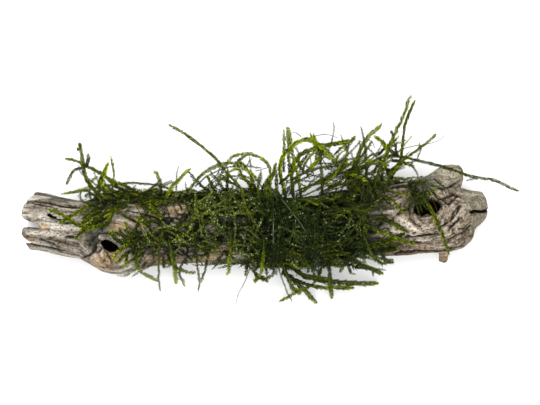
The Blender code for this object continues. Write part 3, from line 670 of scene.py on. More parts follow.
UPPER_SHOOTS = (
    ("wiry", 14, (176.5, 190), (177.2, 183.3), (177.5, 171.7), (178.8, 165)),
    ("leafy", 18, (251.7, 190), (246, 181), (240, 173.3), (236.7, 163.3)),
    ("wiry", 19, (252, 186), (250.5, 175), (250, 165), (248.3, 155)),
    ("hair", 17, (209, 186), (217.5, 173.3), (221.7, 165)),
    ("leafy", 17, (240, 188), (231, 183), (217, 175.6)),
    ("serrate", 20, (221, 177), (227.7, 163.5), (234, 156), (240.5, 154)),
    ("leafy", 20, (234, 166), (240, 159), (248, 155)),
    ("serrate", 20, (188, 191), (200, 178), (214, 168), (232, 163), (248, 166)),
    ("serrate", 19, (214, 190), (222, 178), (232, 170), (246, 170), (258, 178)),
    ("wiry", 18, (230, 192), (236, 180), (244, 168), (252, 158)),
    ("serrate", 17, (256, 192), (252, 178), (244, 166), (236, 158)),
    ("net", 16, (205, 188), (222, 178), (240, 176), (262, 182)),
    ("net", 17, (196, 186), (215, 172), (236, 166), (262, 168)),
    ("serrate", 19, (318, 150), (330, 145), (345, 141), (356, 140)),
    ("feather", 18, (322, 150), (316, 162), (307, 172)), ("leafy", 15, (214, 188), (210, 180), (206, 173)),
    ("hair", 20, (256, 171), (263, 169), (270, 167.4)), ("wiry", 14, (188, 191), (186.5, 186), (186, 182)),
    ("leafy", 24, (284, 172), (283.6, 152), (283.2, 140), (283.3, 129)),
    ("leafy", 23, (290, 176), (288.6, 157.5), (287.5, 140), (286.3, 126)),
    ("leafy", 23, (316, 160), (314, 148), (312, 140), (308.8, 132)),
    ("leafy", 20, (347, 152), (343, 142), (339.5, 134)),
    ("leafy", 19, (301.7, 172), (306, 162), (310, 156.7), (315, 149)),
    ("feather", 19, (318, 149), (323, 154), (329.5, 160)),
    ("leafy", 18, (301, 170), (298.5, 162), (296.6, 154)),
    ("hair", 21, (310, 137), (324, 135), (339.5, 139)),
    ("hair", 22, (300, 137.5), (294, 133), (288.6, 134)),
    ("feather", 21, (396, 155), (388.3, 150), (381.7, 142.5), (372, 135.5)),
    ("hair", 21, (362, 139), (370, 141), (374, 149)),
    ("leafy", 19, (338, 166), (336, 159), (340, 153), (346, 150)),
    ("dense", 17, (272, 205), (270, 190), (272, 175), (277, 163)),
    ("dense", 17, (276, 205), (277, 190), (276, 178), (274, 165)),
    ("dense", 17, (268, 205), (266, 192), (270, 178), (276, 168)),
    ("dense", 15, (262, 206), (259, 194), (258, 182), (261, 172)),
    ("net", 15, (287, 181), (305, 172), (325, 166), (345, 160)),
    ("net", 16, (298, 176), (320, 168), (345, 160), (368, 155)),
    ("net", 17, (319, 181), (345, 172), (370, 165), (397, 159)),
    ("net", 17, (332, 188), (352, 180), (372, 173), (392, 168)),
    ("net", 18, (303, 192), (320, 180), (338, 172), (352, 163)),
    ("net", 14, (290, 193), (312, 186), (335, 178), (358, 172)),
    ("net", 14, (300, 197), (322, 188), (348, 182), (372, 178)),
    ("wiry", 15, (286, 183), (306, 181), (326, 184), (340, 191)),
    ("net", 14, (284, 190), (296, 182), (308, 176), (318, 166)),
)
RIGHT_SHOOTS = (
    ("wiry", 18, (415, 160), (418, 152), (418.8, 142)),
    ("wiry", 17, (409.5, 164.8), (413, 169), (417.5, 176.4)),
    ("dense", None, (366, 252), (385, 251), (400, 249)),
    ("leafy", 8, (372, 268), (373.3, 270), (374.2, 276.7)),
    ("leafy", 9, (348.3, 263), (349, 268), (350.8, 275)),
    ("leafy", None, (376, 195), (388, 199), (398, 208), (404, 214)),
    ("wiry", None, (378, 205), (392, 208), (404, 204), (412, 199)),
    ("net", None, (360, 222), (374, 216), (390, 214)), ("net", None, (362, 212), (376, 210), (388, 204)),
    ("leafy", None, (380, 215), (390, 222), (398, 228), (405, 232.5)),
    ("wiry", 10, (475, 178.7), (470, 180), (465, 181.3)),
    ("wiry", None, (346, 245), (358, 233), (374, 223), (393, 220)),
    ("wiry", None, (342, 238), (356, 227), (372, 219), (384, 217)),
    ("net", None, (350, 248), (366, 236), (384, 228)),
    ("dense", None, (352, 245), (368, 246), (386, 244), (404, 245)),
    ("wiry", 9, (345, 254), (362, 262), (374, 268), (388, 270)),
    ("dense", 10, (356, 250), (372, 254), (384, 260), (393, 259)),
)
LOWER_SHOOTS = (
    ("leafy", 8, (186.7, 258), (180, 269), (184.7, 286.7)),
    ("leafy", 10, (170, 256), (178, 268), (188, 272), (195.8, 273.3)),
    ("leafy", 7, (207.5, 260), (204.2, 271.7), (200, 284.2)),
    ("leafy", 10, (247, 262), (246.7, 270), (245, 276)),
    ("feather", 5, (294, 279), (308, 285), (325, 287.5), (342, 288), (356, 289.5)),
    ("fan", 5, (296, 271), (310, 279), (330, 284.5), (352, 286.5), (370, 285.5)),
    ("dense", 8, (311, 262), (312, 270), (316.6, 279.7)),
    ("dense", 8, (294, 268), (305, 275), (318, 277.5), (332, 280)),
    ("fan", 7, (283, 262), (287, 275), (292, 286), (301, 294)),
    ("dense", 8, (246, 258), (249, 266), (255, 272), (259, 277.5)),
    ("frond", 7, (255, 272), (258, 277), (253.5, 283)), ("frond", 7, (258, 276), (263, 279), (269, 282.5)),
    ("dense", 7, (275, 262), (274, 272), (268, 278), (260, 278)),
    ("fan", 9, (345, 256), (356, 262), (371, 268.3), (382.4, 272.9)),
    ("leafy", 9, (361, 250), (363, 257), (366, 264)), ("fan", 9, (381, 251), (384, 257), (389, 261)),
    ("leafy", 8, (345, 262), (342, 268), (339.5, 273)),
    ("wiry", 8, (346, 262), (350.6, 272.9), (356.3, 275)),
    ("wiry", 5, (278, 262), (280, 271.7), (287.5, 293.3), (291.7, 303.3)),
)
NET = ("net", "net", "wiry", "net", "hair")
FINE = ("wiry", "net", "sprig", "slim")
DARK = ("dense", "mat", "dense")
MIXED = ("leafy", "wiry", "sprig", "wiry", "leafy", "sprig")
BROWN = ("net", "twig", "wiry", "hair")
# Loose stems where many grow the same way: their kinds, count, pixels of the corners between which they
# start, their turn from the picture's right in degrees, length in pixels, height of the tips, and age.
THICKETS = (
    (NET, 12, (284, 176), (345, 196), (12, 48), (24, 56), (12, 20), 0.55),
    (NET, 24, (300, 164), (385, 184), (-8, 50), (22, 56), (13, 20), 0.50),
    (NET, 15, (300, 162), (400, 188), (95, 170), (12, 34), (13, 20), 0.50),
    (MIXED, 5, (284, 180), (350, 198), (15, 60), (24, 60), (11, 20), 0.45),
    (MIXED, 6, (335, 178), (360, 192), (15, 80), (8, 18), (14, 20), 0.60),
    (MIXED, 14, (372, 156), (412, 190), (-40, 120), (14, 30), (15, 21), 0.55),
    (MIXED, 4, (250, 180), (262, 198), (60, 130), (14, 28), (14, 20), 0.40),
    (MIXED, 4, (276, 178), (292, 198), (20, 70), (18, 36), (14, 20), 0.40),
    (MIXED, 5, (196, 184), (262, 193), (10, 170), (14, 30), (12, 17), 0.55),
    (MIXED, 9, (92, 194), (165, 200), (-10, 30), (14, 34), (12, 20), 0.50),
    (MIXED, 6, (110, 192), (175, 198), (150, 188), (14, 30), (12, 20), 0.50),
    (FINE, 13, (96, 202), (150, 214), (160, 240), (16, 36), None, 0.45),
    (FINE, 7, (128, 195), (165, 200), (170, 200), (16, 36), None, 0.45),
    (MIXED, 14, (330, 150), (400, 178), (10, 60), (14, 30), (18, 24), 0.25),
    (FINE, 13, (350, 242), (376, 250), (-8, 10), (20, 34), None, 0.72),
    (FINE, 9, (120, 192), (200, 204), (-60, 60), (14, 30), None, 0.50),
    (FINE, 20, (128, 222), (190, 254), (120, 260), (12, 30), None, 0.50),
    (FINE, 9, (196, 242), (232, 258), (140, 215), (12, 26), None, 0.55),
    (DARK, 40, (262, 196), (288, 218), (-180, 180), (10, 20), None, 0.95),
    (DARK, 40, (262, 244), (284, 262), (-180, 180), (10, 20), None, 0.85),
    (DARK, 60, (304, 222), (322, 266), (-180, 180), (10, 20), None, 0.90),
    (FINE, 30, (285, 198), (365, 214), (-20, 40), (12, 28), None, 0.66),
    (MIXED, 10, (160, 250), (262, 258), (230, 310), (8, 15), (6, 12), 0.50),
    (MIXED, 14, (258, 252), (345, 260), (225, 330), (10, 20), (4, 11), 0.55),
    (MIXED, 12, (262, 248), (330, 258), (-14, 14), (20, 40), (9, 13), 0.66),
    (BROWN, 34, (408, 178), (432, 200), (240, 320), (10, 26), (20.5, 22.5), 0.85),
)
LOOSE_BOW, LOOSE_AGES = 0.5, 0.2

MAT_SHOOTS = 1700
MAT_LENGTHS = (8, 11, 14, 18)
MAT_STEP = KINDS["mat"][0]
MAT_SPAN = (-60, 50)  # x between which its shoots start
MAT_END = -63  # no strand of the mat grows beyond this x
LEAST_ROOM = 0.8  # depth of the mat over the wood where a shoot starts
# How shoots of the mat turn: spread of their heading from the wood's, of their bend, and of each step.
HEADINGS, BENDS, WANDER = 0.65, 0.9, 0.09
UPPER_LAYER = 0.32  # share of the mat's shoots that lie on top and are painted lighter as lit
# Least share and spread of the height and the tone of shoots on top, and of those under them. The tone
# is painted light on the shoots on top and painted shade on those under them.
TOP_CREST, LOW_CREST, TOP_PAINTED_LIGHT_TONE, LOW_PAINTED_SHADE_TONE = (0.75, 0.3), (0, 0.6), (0.5, 0.5), (0, 0.25)
RISING, TIP_RISE = 0.3, 2.2  # share of the shoots whose tips rise from the mat, and how far
TAN_OR_PAINTED_GLINT_SHARE = 0.13  # share of the mat's leaves painted tan or with a painted glint
MOST_BARE = 0.28  # share of a shoot over bare wood from which it is left out
GRID_X = np.arange(-66.0, 58.0, 1.0)
GRID_ANGLE = np.radians(np.arange(-66, 249, 3.0))
RAY = 30  # how far from the wood's middle line a surface is looked for
LEAST_RADIUS = 6  # a surface nearer than this is the bore
# How thick the moss grows along the wood: x, weight, and age from 0, young, to 1, old.
MAT_GROWTH = np.array(
    [
        (-60, 0.0, 0.45), (-54, 0.4, 0.55), (-40, 0.75, 0.6), (-30, 0.95, 0.68), (-10, 1.0, 0.80),
        (0, 1.3, 0.86), (12, 1.4, 0.92), (24, 1.2, 0.92), (33, 0.5, 0.78), (41, 0.2, 0.68),
        (48, 0.05, 0.55),
    ]
)
MOST_GROWTH = 1.4  # the greatest of these weights
# Bare wood between the moss.
BARE = (
    (118, 219, 17, 10), (111, 250, 19, 24), (143, 207, 10, 5), (141, 222, 8, 4), (207, 256, 15, 6),
    (166, 258, 24, 5), (238, 258, 12, 3.5), (226, 246, 9, 4), (175, 208, 17, 5), (211, 228, 8, 4),
    (223, 217, 5, 2), (207, 237, 4, 2), (244, 232, 4, 2), (196, 221, 4, 2), (235, 220, 9, 2.5),
    (386, 237, 17, 9), (398, 196, 11, 17), (381, 214, 13, 8), (372, 238, 12, 5), (70, 220, 20, 40),
    (416, 232, 22, 20), (309, 191, 7, 6), (358, 255, 5, 2.5), (374, 257.5, 8, 4),
)
DARKEST = (303, 233, 46, 24)  # patch of the oldest, darkest moss
TIE_ROOM, TIE_PRESS = 1.0, 0.75  # room that the tie needs, and share of it by which shoots are pressed down
TIE_SHOWS = ((273, 233, 9, 10), (296, 213, 18, 10))  # patches where the tie isn't overgrown
# Where the mat is pressed thin on the flank at the picture's upper side: from x, to x, below this angle.
THIN_START, THIN_END, THIN_ANGLE = 2, 27, 0.75
THINNED = 0.85
THINNEST = 0.9  # room for shoots where there is hardly any mat
ENDS_LIFT, LEAST_LIFT = 0.2, 0.1
MAT_BENDS, MAT_BEND_NOISE = 0.35, 0.6
# Ages in the mat: how much older shoots under the others are, the spread, the share of fresh shoots and how
# much younger these are, the youngest, the age of the darkest patch, and the steps to root and tip.
BURIED_AGE, MAT_AGE_SPREAD, FRESH_SHARE, FRESH_YOUTH = 0.18, 0.12, 0.12, 0.15
YOUNGEST, DARKEST_AGE, ROOT_OLDER, TIP_YOUNGER = 0.4, 0.95, 0.1, 0.15
# The mat's pieces, each up to an x.
MAT_PIECES = (
    (-28, "moss_left"), (-12, "moss_left_middle"), (2, "moss_middle"), (14, "moss_under_tie"),
    (26, "moss_right_middle"), (99, "moss_right"),
)


def moss_material(name, wet):
    """Java moss: each leaf is a thin green blade with a waxy, damp shine. Young tips are yellow-green, older
    leaves dark, and bare stems are olive brown. Some leaves of the mat are tan or carry a painted glint, and
    leaves deep in the mat are painted darker as shade and those on top lighter as painted light."""
    material, tree, shader = new_material(name, {"IOR": 1.42, "Specular IOR Level": 0.15})
    tissue = node(tree, "Attribute", out="Vector", attribute_name="tissue")
    age, tone, part = node(tree, "SeparateXYZ", {0: tissue}).node.outputs
    leaf = node(tree, "ValToRGB", {"Fac": age}, YOUNG_LEAF + OLD_LEAF)
    stem = node(tree, "ValToRGB", {"Fac": part}, MOSS_STEM)
    # Tan to a pale painted glint, for the leaves marked -1.
    tan_or_glint_colour = node(tree, "ValToRGB", {"Fac": tone}, TAN_TO_PAINTED_GLINT)
    is_stem = node(tree, "Math", {0: part, 1: 0.25}, operation="GREATER_THAN")
    is_tan_or_painted_glint = node(tree, "Math", {0: part, 1: -0.5}, operation="LESS_THAN")
    shade = node(tree, "Mix", {0: is_stem, 6: leaf, 7: stem}, out=2, data_type="RGBA")
    shade = node(tree, "Mix", {0: is_tan_or_painted_glint, 6: shade, 7: tan_or_glint_colour}, out=2, data_type="RGBA")
    shade = node(tree, "HueSaturation", {"Color": shade, "Saturation": 1.08 - 0.10 * wet})
    # Cells and veins are far too fine to show, so a 1.2 mm mottle stands for them.
    place_on = node(tree, "TexCoord", out="Object")
    mottle = node(tree, "TexNoise", {"Vector": place_on, "Scale": 850.0, "Detail": 2.0, "Roughness": 0.6})
    # Tone sets a leaf's brightness: random, with painted shade deep in the mat and painted light on the
    # shoots on top of it.
    tone = node(tree, "Math", {0: tone, 1: 2.0}, operation="POWER")
    tone = node(tree, "Math", {0: tone, 1: 2.0, 2: 0.07}, operation="MULTIPLY_ADD")
    tone = node(tree, "Math", {0: mottle, 1: 0.26, 2: tone}, operation="MULTIPLY_ADD")
    final = node(tree, "Mix", {0: 1.0, 6: shade, 7: tone}, out=2, data_type="RGBA", blend_type="MULTIPLY")
    tree.links.new(final, shader["Base Color"])
    roughness = node(tree, "Math", {0: mottle, 1: 0.35, 2: 0.5 - 0.2 * wet}, operation="MULTIPLY_ADD")
    tree.links.new(roughness, shader["Roughness"])
    return material


def varied(least, spread, count):
    """Random numbers from a least one up to a spread above it."""
    return least + spread * rng.random(count)


def shifts(points, seed, octaves):
    """A smooth random shift for each point, from -0.5 to 0.5 each way."""
    return np.stack([rough_noise(points, seed + way, octaves) for way in range(3)], axis=-1) - 0.5


def soften(values):
    """Evens out a row of values, but for its ends."""
    for _ in range(4):
        values[1:-1] = (values[:-2] + 2 * values[1:-1] + values[2:]) / 4


def repeated(faces, first, step, count):
    """The same faces for each of many parts, whose corners follow one another."""
    return (first + step * np.arange(count)[:, None, None] + np.array(faces)).reshape(-1, 3)


def tissue_of(age, tone, part):
    return np.stack(np.broadcast_arrays(age, tone, part), axis=-1).reshape(-1, 3)


def grow(paths, kind, age, tone, roll, up, depth, bare=None):
    """Corners, triangles and tissue of shoots along paths of evenly spaced points, one row of points a shoot.
    Age has a value at root and tip for each shoot, up points out of what it grows on, depth is 0 deep in the
    mat and 1 in the open, and bare marks the places without leaves. Leaves deep in the mat are painted darker
    as shade. Tissue holds age, tone and what a corner is part of: 0 is a leaf, -1 a leaf painted tan or with
    a painted glint, and more than 0 a stem, by its bareness."""
    spacing, length, width, angle, stem_radius, root_share = KINDS[kind]
    shoots, steps = paths.shape[:2]
    ahead = unit(np.gradient(paths, axis=1))
    side = unit(np.cross(up, ahead))
    over = np.cross(ahead, side)
    turn = roll[:, None, None] + STEM_TWIST * (noise(paths * TWIST_NOISE, 83) - 0.5)[..., None]
    side, over = side * np.cos(turn) + over * np.sin(turn), over * np.cos(turn) - side * np.sin(turn)
    share = np.linspace(0, 1, steps)
    to_tip = (1 - share) * (steps - 1) * spacing
    tip = np.exp(-to_tip / TIP_FADE)
    ages = age[:, :1] + (age[:, 1:] - age[:, :1]) * np.maximum(share, OPEN_YOUTH * depth) - TIP_YOUTH * tip
    size = (root_share + (1 - root_share) * np.sqrt(share)) * (1 - TIP_SHRINK * tip)

    corners, triangles, tissues, total = [], [], [], 0
    for rank in (1, -1) if kind in FLAT_KINDS else (1, -1, 0):
        chosen = np.ones((shoots, steps), bool) if bare is None else ~bare
        chosen[:, 0] = False
        if rank == 0:
            chosen[:, ::2] = False
        row, column = np.nonzero(chosen)
        count = len(row)
        forward = ahead[row, column]
        out, raised = side[row, column] * rank, over[row, column]
        if rank == 0:
            out, raised = raised, side[row, column]
        upright = 1 - UPRIGHT * np.exp(-to_tip[column] / UPRIGHT_FADE)
        lean = (np.radians(angle) * varied(*LEAN, count) * upright)[:, None]
        tilt = rng.normal(0, FLAT_TILT if kind in FLAT_KINDS else TILT, count)[:, None]
        out = unit(out + raised * tilt)
        blade = forward * np.cos(lean) + out * np.sin(lean)
        across = unit(np.cross(raised, blade)) * (-1 if rank < 0 else 1)
        rise = np.cross(across, blade)
        long = length * size[column] * varied(*LENGTH, count) * (1 if rank else THIRD_RANK)
        long = long[:, None]
        wide = (width * varied(*WIDTH, count))[:, None] * np.minimum(long / length * 1.3, 1)
        base = paths[row, column] - forward * (spacing / 2 if rank < 0 else 0)
        start = base + out * stem_radius * 0.5
        middle = start + blade * long * LEAF_WIDEST + rise * wide * LEAF_FOLD
        end = start + blade * long + forward * long * LEAF_CURL
        half = across * wide / 2
        corners.append(np.stack([start, end, middle + half, middle - half], axis=1).reshape(-1, 3))
        triangles.append(repeated(LEAF_FACES, total, 4, count))
        leaf_age = (ages[row, column] + rng.normal(0, AGE_SPREAD, count))[:, None] + LEAF_AGES
        leaf_tone = tone[row] + rng.normal(0, TONE_SPREAD, count)
        # Deep in the mat a leaf is painted darker as shade.
        leaf_tone = np.clip(leaf_tone * (TONE_KEPT_IN_PAINTED_SHADE + (1 - TONE_KEPT_IN_PAINTED_SHADE) * depth[row, column]), 0, 1)
        tan_or_painted_glint = rng.random(count) < (TAN_OR_PAINTED_GLINT_SHARE if kind == "mat" else 0)
        tissues.append(tissue_of(np.clip(leaf_age, 0, 1), leaf_tone[:, None], -1.0 * tan_or_painted_glint[:, None]))
        total += 4 * count

    ring_count = max(2, round((steps - 1) * spacing / STEM_STEP) + 1)
    rings = np.unique(np.round(np.linspace(0, steps - 1, ring_count)).astype(int))
    thick = stem_radius * (1 - STEM_TAPER * share[rings])[None, :, None]
    stem = [
        paths[:, rings] + (side[:, rings] * math.cos(bend) + over[:, rings] * math.sin(bend)) * thick
        for bend in STEM_CORNERS
    ]
    corners.append(np.stack(stem, axis=2).reshape(-1, 3))
    last = 3 * len(rings) - 3
    faces = [(0, 2, 1), (last, last + 1, last + 2)]
    for k in range(0, last, 3):
        for i, j in ((0, 1), (1, 2), (2, 0)):
            faces += [(k + i, k + j, k + 3 + j), (k + i, k + 3 + j, k + 3 + i)]
    triangles.append(repeated(faces, total, last + 3, shoots))
    bareness = np.full(3, BARENESS.get(kind, USUAL_BARENESS))
    tissues.append(tissue_of(ages[:, rings, None], tone[:, None, None], bareness))
    return np.concatenate(corners), np.concatenate(triangles), np.concatenate(tissues)


def moss_piece(name, grown, material, slot, *nodes):
    """One closed mesh of all these shoots, in place of the CAD's solids."""
    corners, triangles, tissues = zip(*grown)
    offsets = np.cumsum([0] + [len(points) for points in corners])
    triangles = np.concatenate([faces + offset for faces, offset in zip(triangles, offsets)])
    corners = np.concatenate(corners)
    corners[:, 2] = np.maximum(corners[:, 2], MOSS_FLOOR)
    mesh = bpy.data.meshes.new(name)
    mesh.vertices.add(len(corners))
    mesh.vertices.foreach_set("co", (corners * MM).ravel())
    mesh.loops.add(3 * len(triangles))
    mesh.loops.foreach_set("vertex_index", triangles.ravel())
    mesh.polygons.add(len(triangles))
    mesh.polygons.foreach_set("loop_start", 3 * np.arange(len(triangles)))
    mesh.update(calc_edges=True)
    set_attribute(mesh, "tissue", np.concatenate(tissues))
    mesh.materials.append(material)
    piece = bpy.data.objects.new(name, mesh)
    bpy.context.scene.collection.objects.link(piece)
    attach(piece, BODY)
    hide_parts(*nodes)


def middle_line(name):
    """A CAD shoot's middle line, from its root, next to wood or moss, to its tip."""
    corners, triangles = node_mesh(name)
    edges = np.unique(np.sort(triangles[:, ((0, 1), (1, 2), (2, 0))].reshape(-1, 2), axis=1), axis=0)
    one, other = corners[edges[:, 0]], corners[edges[:, 1]]
    lengths = np.linalg.norm(one - other, axis=1)
    # Distance along the surface, in the end from the corner that is farthest from all the others.
    start = 0
    for _ in range(3):
        away = np.full(len(corners), np.inf)
        away[start] = 0
        while True:
            reached = away.copy()
            for near, far in (edges.T, edges.T[::-1]):
                np.minimum.at(reached, near, away[far] + lengths)
            if np.array_equal(reached, away):
                break
            away = reached
        start = int(np.argmax(away))
    share = np.linspace(0, 1, EDGE_SAMPLES)
    samples = one[:, None] * (1 - share[:, None]) + other[:, None] * share[:, None]
    near, far = away[edges[:, 0], None], away[edges[:, 1], None]
    distance = (near * (1 - share) + far * share).ravel()
    spots = np.arange(0, away.max() + LINE_STEP, LINE_STEP)[:, None]
    weights = np.exp(-(((distance - spots) / LINE_BLUR) ** 2)) * np.repeat(lengths, EDGE_SAMPLES)
    line = (weights @ samples.reshape(-1, 3)) / weights.sum(axis=1, keepdims=True)
    soften(line)
    line = line[1:-1]
    first = line[0] + unit(line[0] - line[3]) * ROOT_REACH
    last = line[-1] + unit(line[-1] - line[-4]) * TIP_REACH
    line = np.concatenate([[first], line, [last]])
    # The root is the end next to the surface, and of two such ends the one nearer to the middle.
    gaps = [cover_tree.find_nearest(Vector(end))[3] + 0.2 * abs(end[0]) for end in (first, last)]
    if gaps[0] > gaps[1]:
        line = line[::-1]
    root = np.array(cover_tree.find_nearest(Vector(line[0]))[0])
    return np.concatenate([[root + unit(root - line[0]) * ROOT_DEPTH], line])


shoot_lines = {name: middle_line(name) for name in sorted(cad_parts) if "_shoot_" in name}
carriers = np.concatenate(list(shoot_lines.values()))


def one_shoot(kind, route, age, side):
    """A shoot along a route, with the small bends that thin stems have."""
    spacing = KINDS[kind][0]
    distance = np.arange(0, length_of(route), spacing)
    points = along_route(route, distance)
    bends = shifts(points * BEND_NOISE, 91, 2) * np.minimum(distance / BENDS_START, 1)[:, None]
    points = points + STEM_BENDS * bends
    leaving, *tones = SIDES[side]
    tone = rng.uniform(*tones, 1)
    roll = rng.normal(0, ROLL_SPREAD, 1)
    # Leaves near the root are painted darker as shade, and less so as the shoot leaves the mat.
    depth = np.minimum(np.arange(len(points)) * spacing / leaving, 1)
    return grow(points[None], kind, np.array([age]), tone, roll, UP, depth[None])


def laid_route(pixels, tip_height):
    """A route through pixels. It starts on what is under it, or on the CAD's shoot next to it, and rises to
    the tip's height, or lies on what is under it where that is None."""
    flat = [place(pixel) for pixel in pixels]
    spots = along_route(flat, np.arange(0, length_of(flat) + 0.5, 1.0))
    heights = under = np.array([ground(x, y) for x, y in spots]) + MOSS_CLEARANCE
    if tip_height is not None:
        nearest = np.argmin(np.linalg.norm(carriers[:, :2] - spots[0], axis=1))
        first = under[0] if under[0] > 0 else carriers[nearest, 2]
        share = np.linspace(0, 1, len(spots))
        bow = ARCH * 4 * share * (1 - share) * min(len(spots) / FULL_ARCH, 1)
        heights = np.maximum(first + (tip_height - first) * share + bow, under)
    soften(heights)
    route = np.column_stack([spots, np.maximum(heights, MOSS_FLOOR + 0.3)])
    return np.concatenate([[route[0] - (0, 0, ROOT_REACH)], route])


def shoots_of(side, shoots):
    """The CAD's shoots of one side, and those that stand beside them."""
    grown = []
    for name, line in shoot_lines.items():
        if name.startswith(side):
            kind, tip_age = OTHER_SHOOTS[side].get(int(name.split("_")[-1]), PLAIN_SHOOT)
            line = line[: len(line) - TRIMMED.get(name, 0)]
            grown.append(one_shoot(kind, line, (ROOT_AGE, tip_age), side))
    for kind, tip_height, *pixels in shoots:
        tip_age = TIP_AGES.get(kind, rng.uniform(0.1, 0.4))
        grown.append(one_shoot(kind, laid_route(pixels, tip_height), (ROOT_AGE, tip_age), side))
    return grown


def thicket(kinds, count, low, high, turns, lengths, heights, old):
    """Loose stems of one row of THICKETS."""
    for _ in range(count):
        pixels = [rng.uniform(low, high)]
        turn = math.radians(rng.uniform(*turns))
        bow = rng.normal(0, LOOSE_BOW)
        reach = rng.uniform(*lengths)
        for _ in range(3):
            turn += bow / 3
            pixels.append(pixels[-1] + np.array([math.cos(turn), -math.sin(turn)]) * reach / 3)
        kind = kinds[rng.integers(len(kinds))]
        tip_age = float(np.clip(old + rng.uniform(-LOOSE_AGES, LOOSE_AGES), 0, 1))
        route = laid_route(pixels, heights and rng.uniform(*heights))
        yield one_shoot(kind, route, (max(tip_age, ROOT_AGE), tip_age), "loose")


def radius_grid(tree):
    """Distance from the wood's middle line to a surface, all along and all round."""
    grid = np.zeros((len(GRID_X), len(GRID_ANGLE)))
    for row, x in zip(grid, GRID_X):
        middle = Vector((x, *axis_at(x)))
        for j, angle in enumerate(GRID_ANGLE):
            out = Vector((0, math.cos(angle), math.sin(angle)))
            hit = tree.ray_cast(middle + out * RAY, -out, RAY)[0]
            row[j] = (hit - middle).length if hit else 0
        known = row > LEAST_RADIUS
        row[:] = np.interp(GRID_ANGLE, GRID_ANGLE[known], row[known])
    return grid


wood_radius = radius_grid(wood_tree)
mat_radius = np.maximum(radius_grid(cover_tree), wood_radius)


def on_grid(grid, x, angle):
    """A grid's values at places along and round the wood."""
    column, row = [
        np.clip((spots - scale[0]) / (scale[1] - scale[0]), 0, len(scale) - 1.001)
        for spots, scale in ((x, GRID_X), (angle, GRID_ANGLE))
    ]
    i, j = column.astype(int), row.astype(int)
    a, b = column - i, row - j
    here = (1 - b) * grid[i, j] + b * grid[i, j + 1]
    return (1 - a) * here + a * ((1 - b) * grid[i + 1, j] + b * grid[i + 1, j + 1])


def mat_trails(wanted, steps):
    """x and angle of points along shoots of the mat, one row of points a shoot."""
    x = angle = np.empty(0)
    while len(x) < wanted:
        more_x = rng.uniform(*MAT_SPAN, 4 * wanted)
        more_angle = rng.uniform(GRID_ANGLE[0], GRID_ANGLE[-1], 4 * wanted)
        room = on_grid(mat_radius, more_x, more_angle) - on_grid(wood_radius, more_x, more_angle)
        weight = np.interp(more_x, *MAT_GROWTH.T[:2])
        taken = (room > LEAST_ROOM) & (rng.random(4 * wanted) * MOST_GROWTH < weight)
        x, angle = np.concatenate([x, more_x[taken]]), np.concatenate([angle, more_angle[taken]])
    x, angle = x[:wanted], angle[:wanted]
    heading = rng.normal(0, HEADINGS, wanted) + math.pi * rng.integers(0, 2, wanted)
    bend = rng.normal(0, BENDS / steps, wanted)
    trail = []
    for _ in range(steps):
        trail.append((x, angle))
        heading = heading + bend + rng.normal(0, WANDER, wanted)
        x = x + np.cos(heading) * MAT_STEP
        angle = angle + np.sin(heading) * MAT_STEP / WOOD_RADIUS
    return np.array(trail).transpose(1, 2, 0)


def is_bare(points):
    """Where wood shows between the moss, seen from above."""
    ragged = 0.5 * (noise(points * (0.5, 0.5, 0.1), 97) - 0.5)
    found = np.any([reach_in(points, patch) + ragged < 1 for patch in BARE], axis=0)
    return found & (points[..., 2] > MIDDLE_HEIGHT)


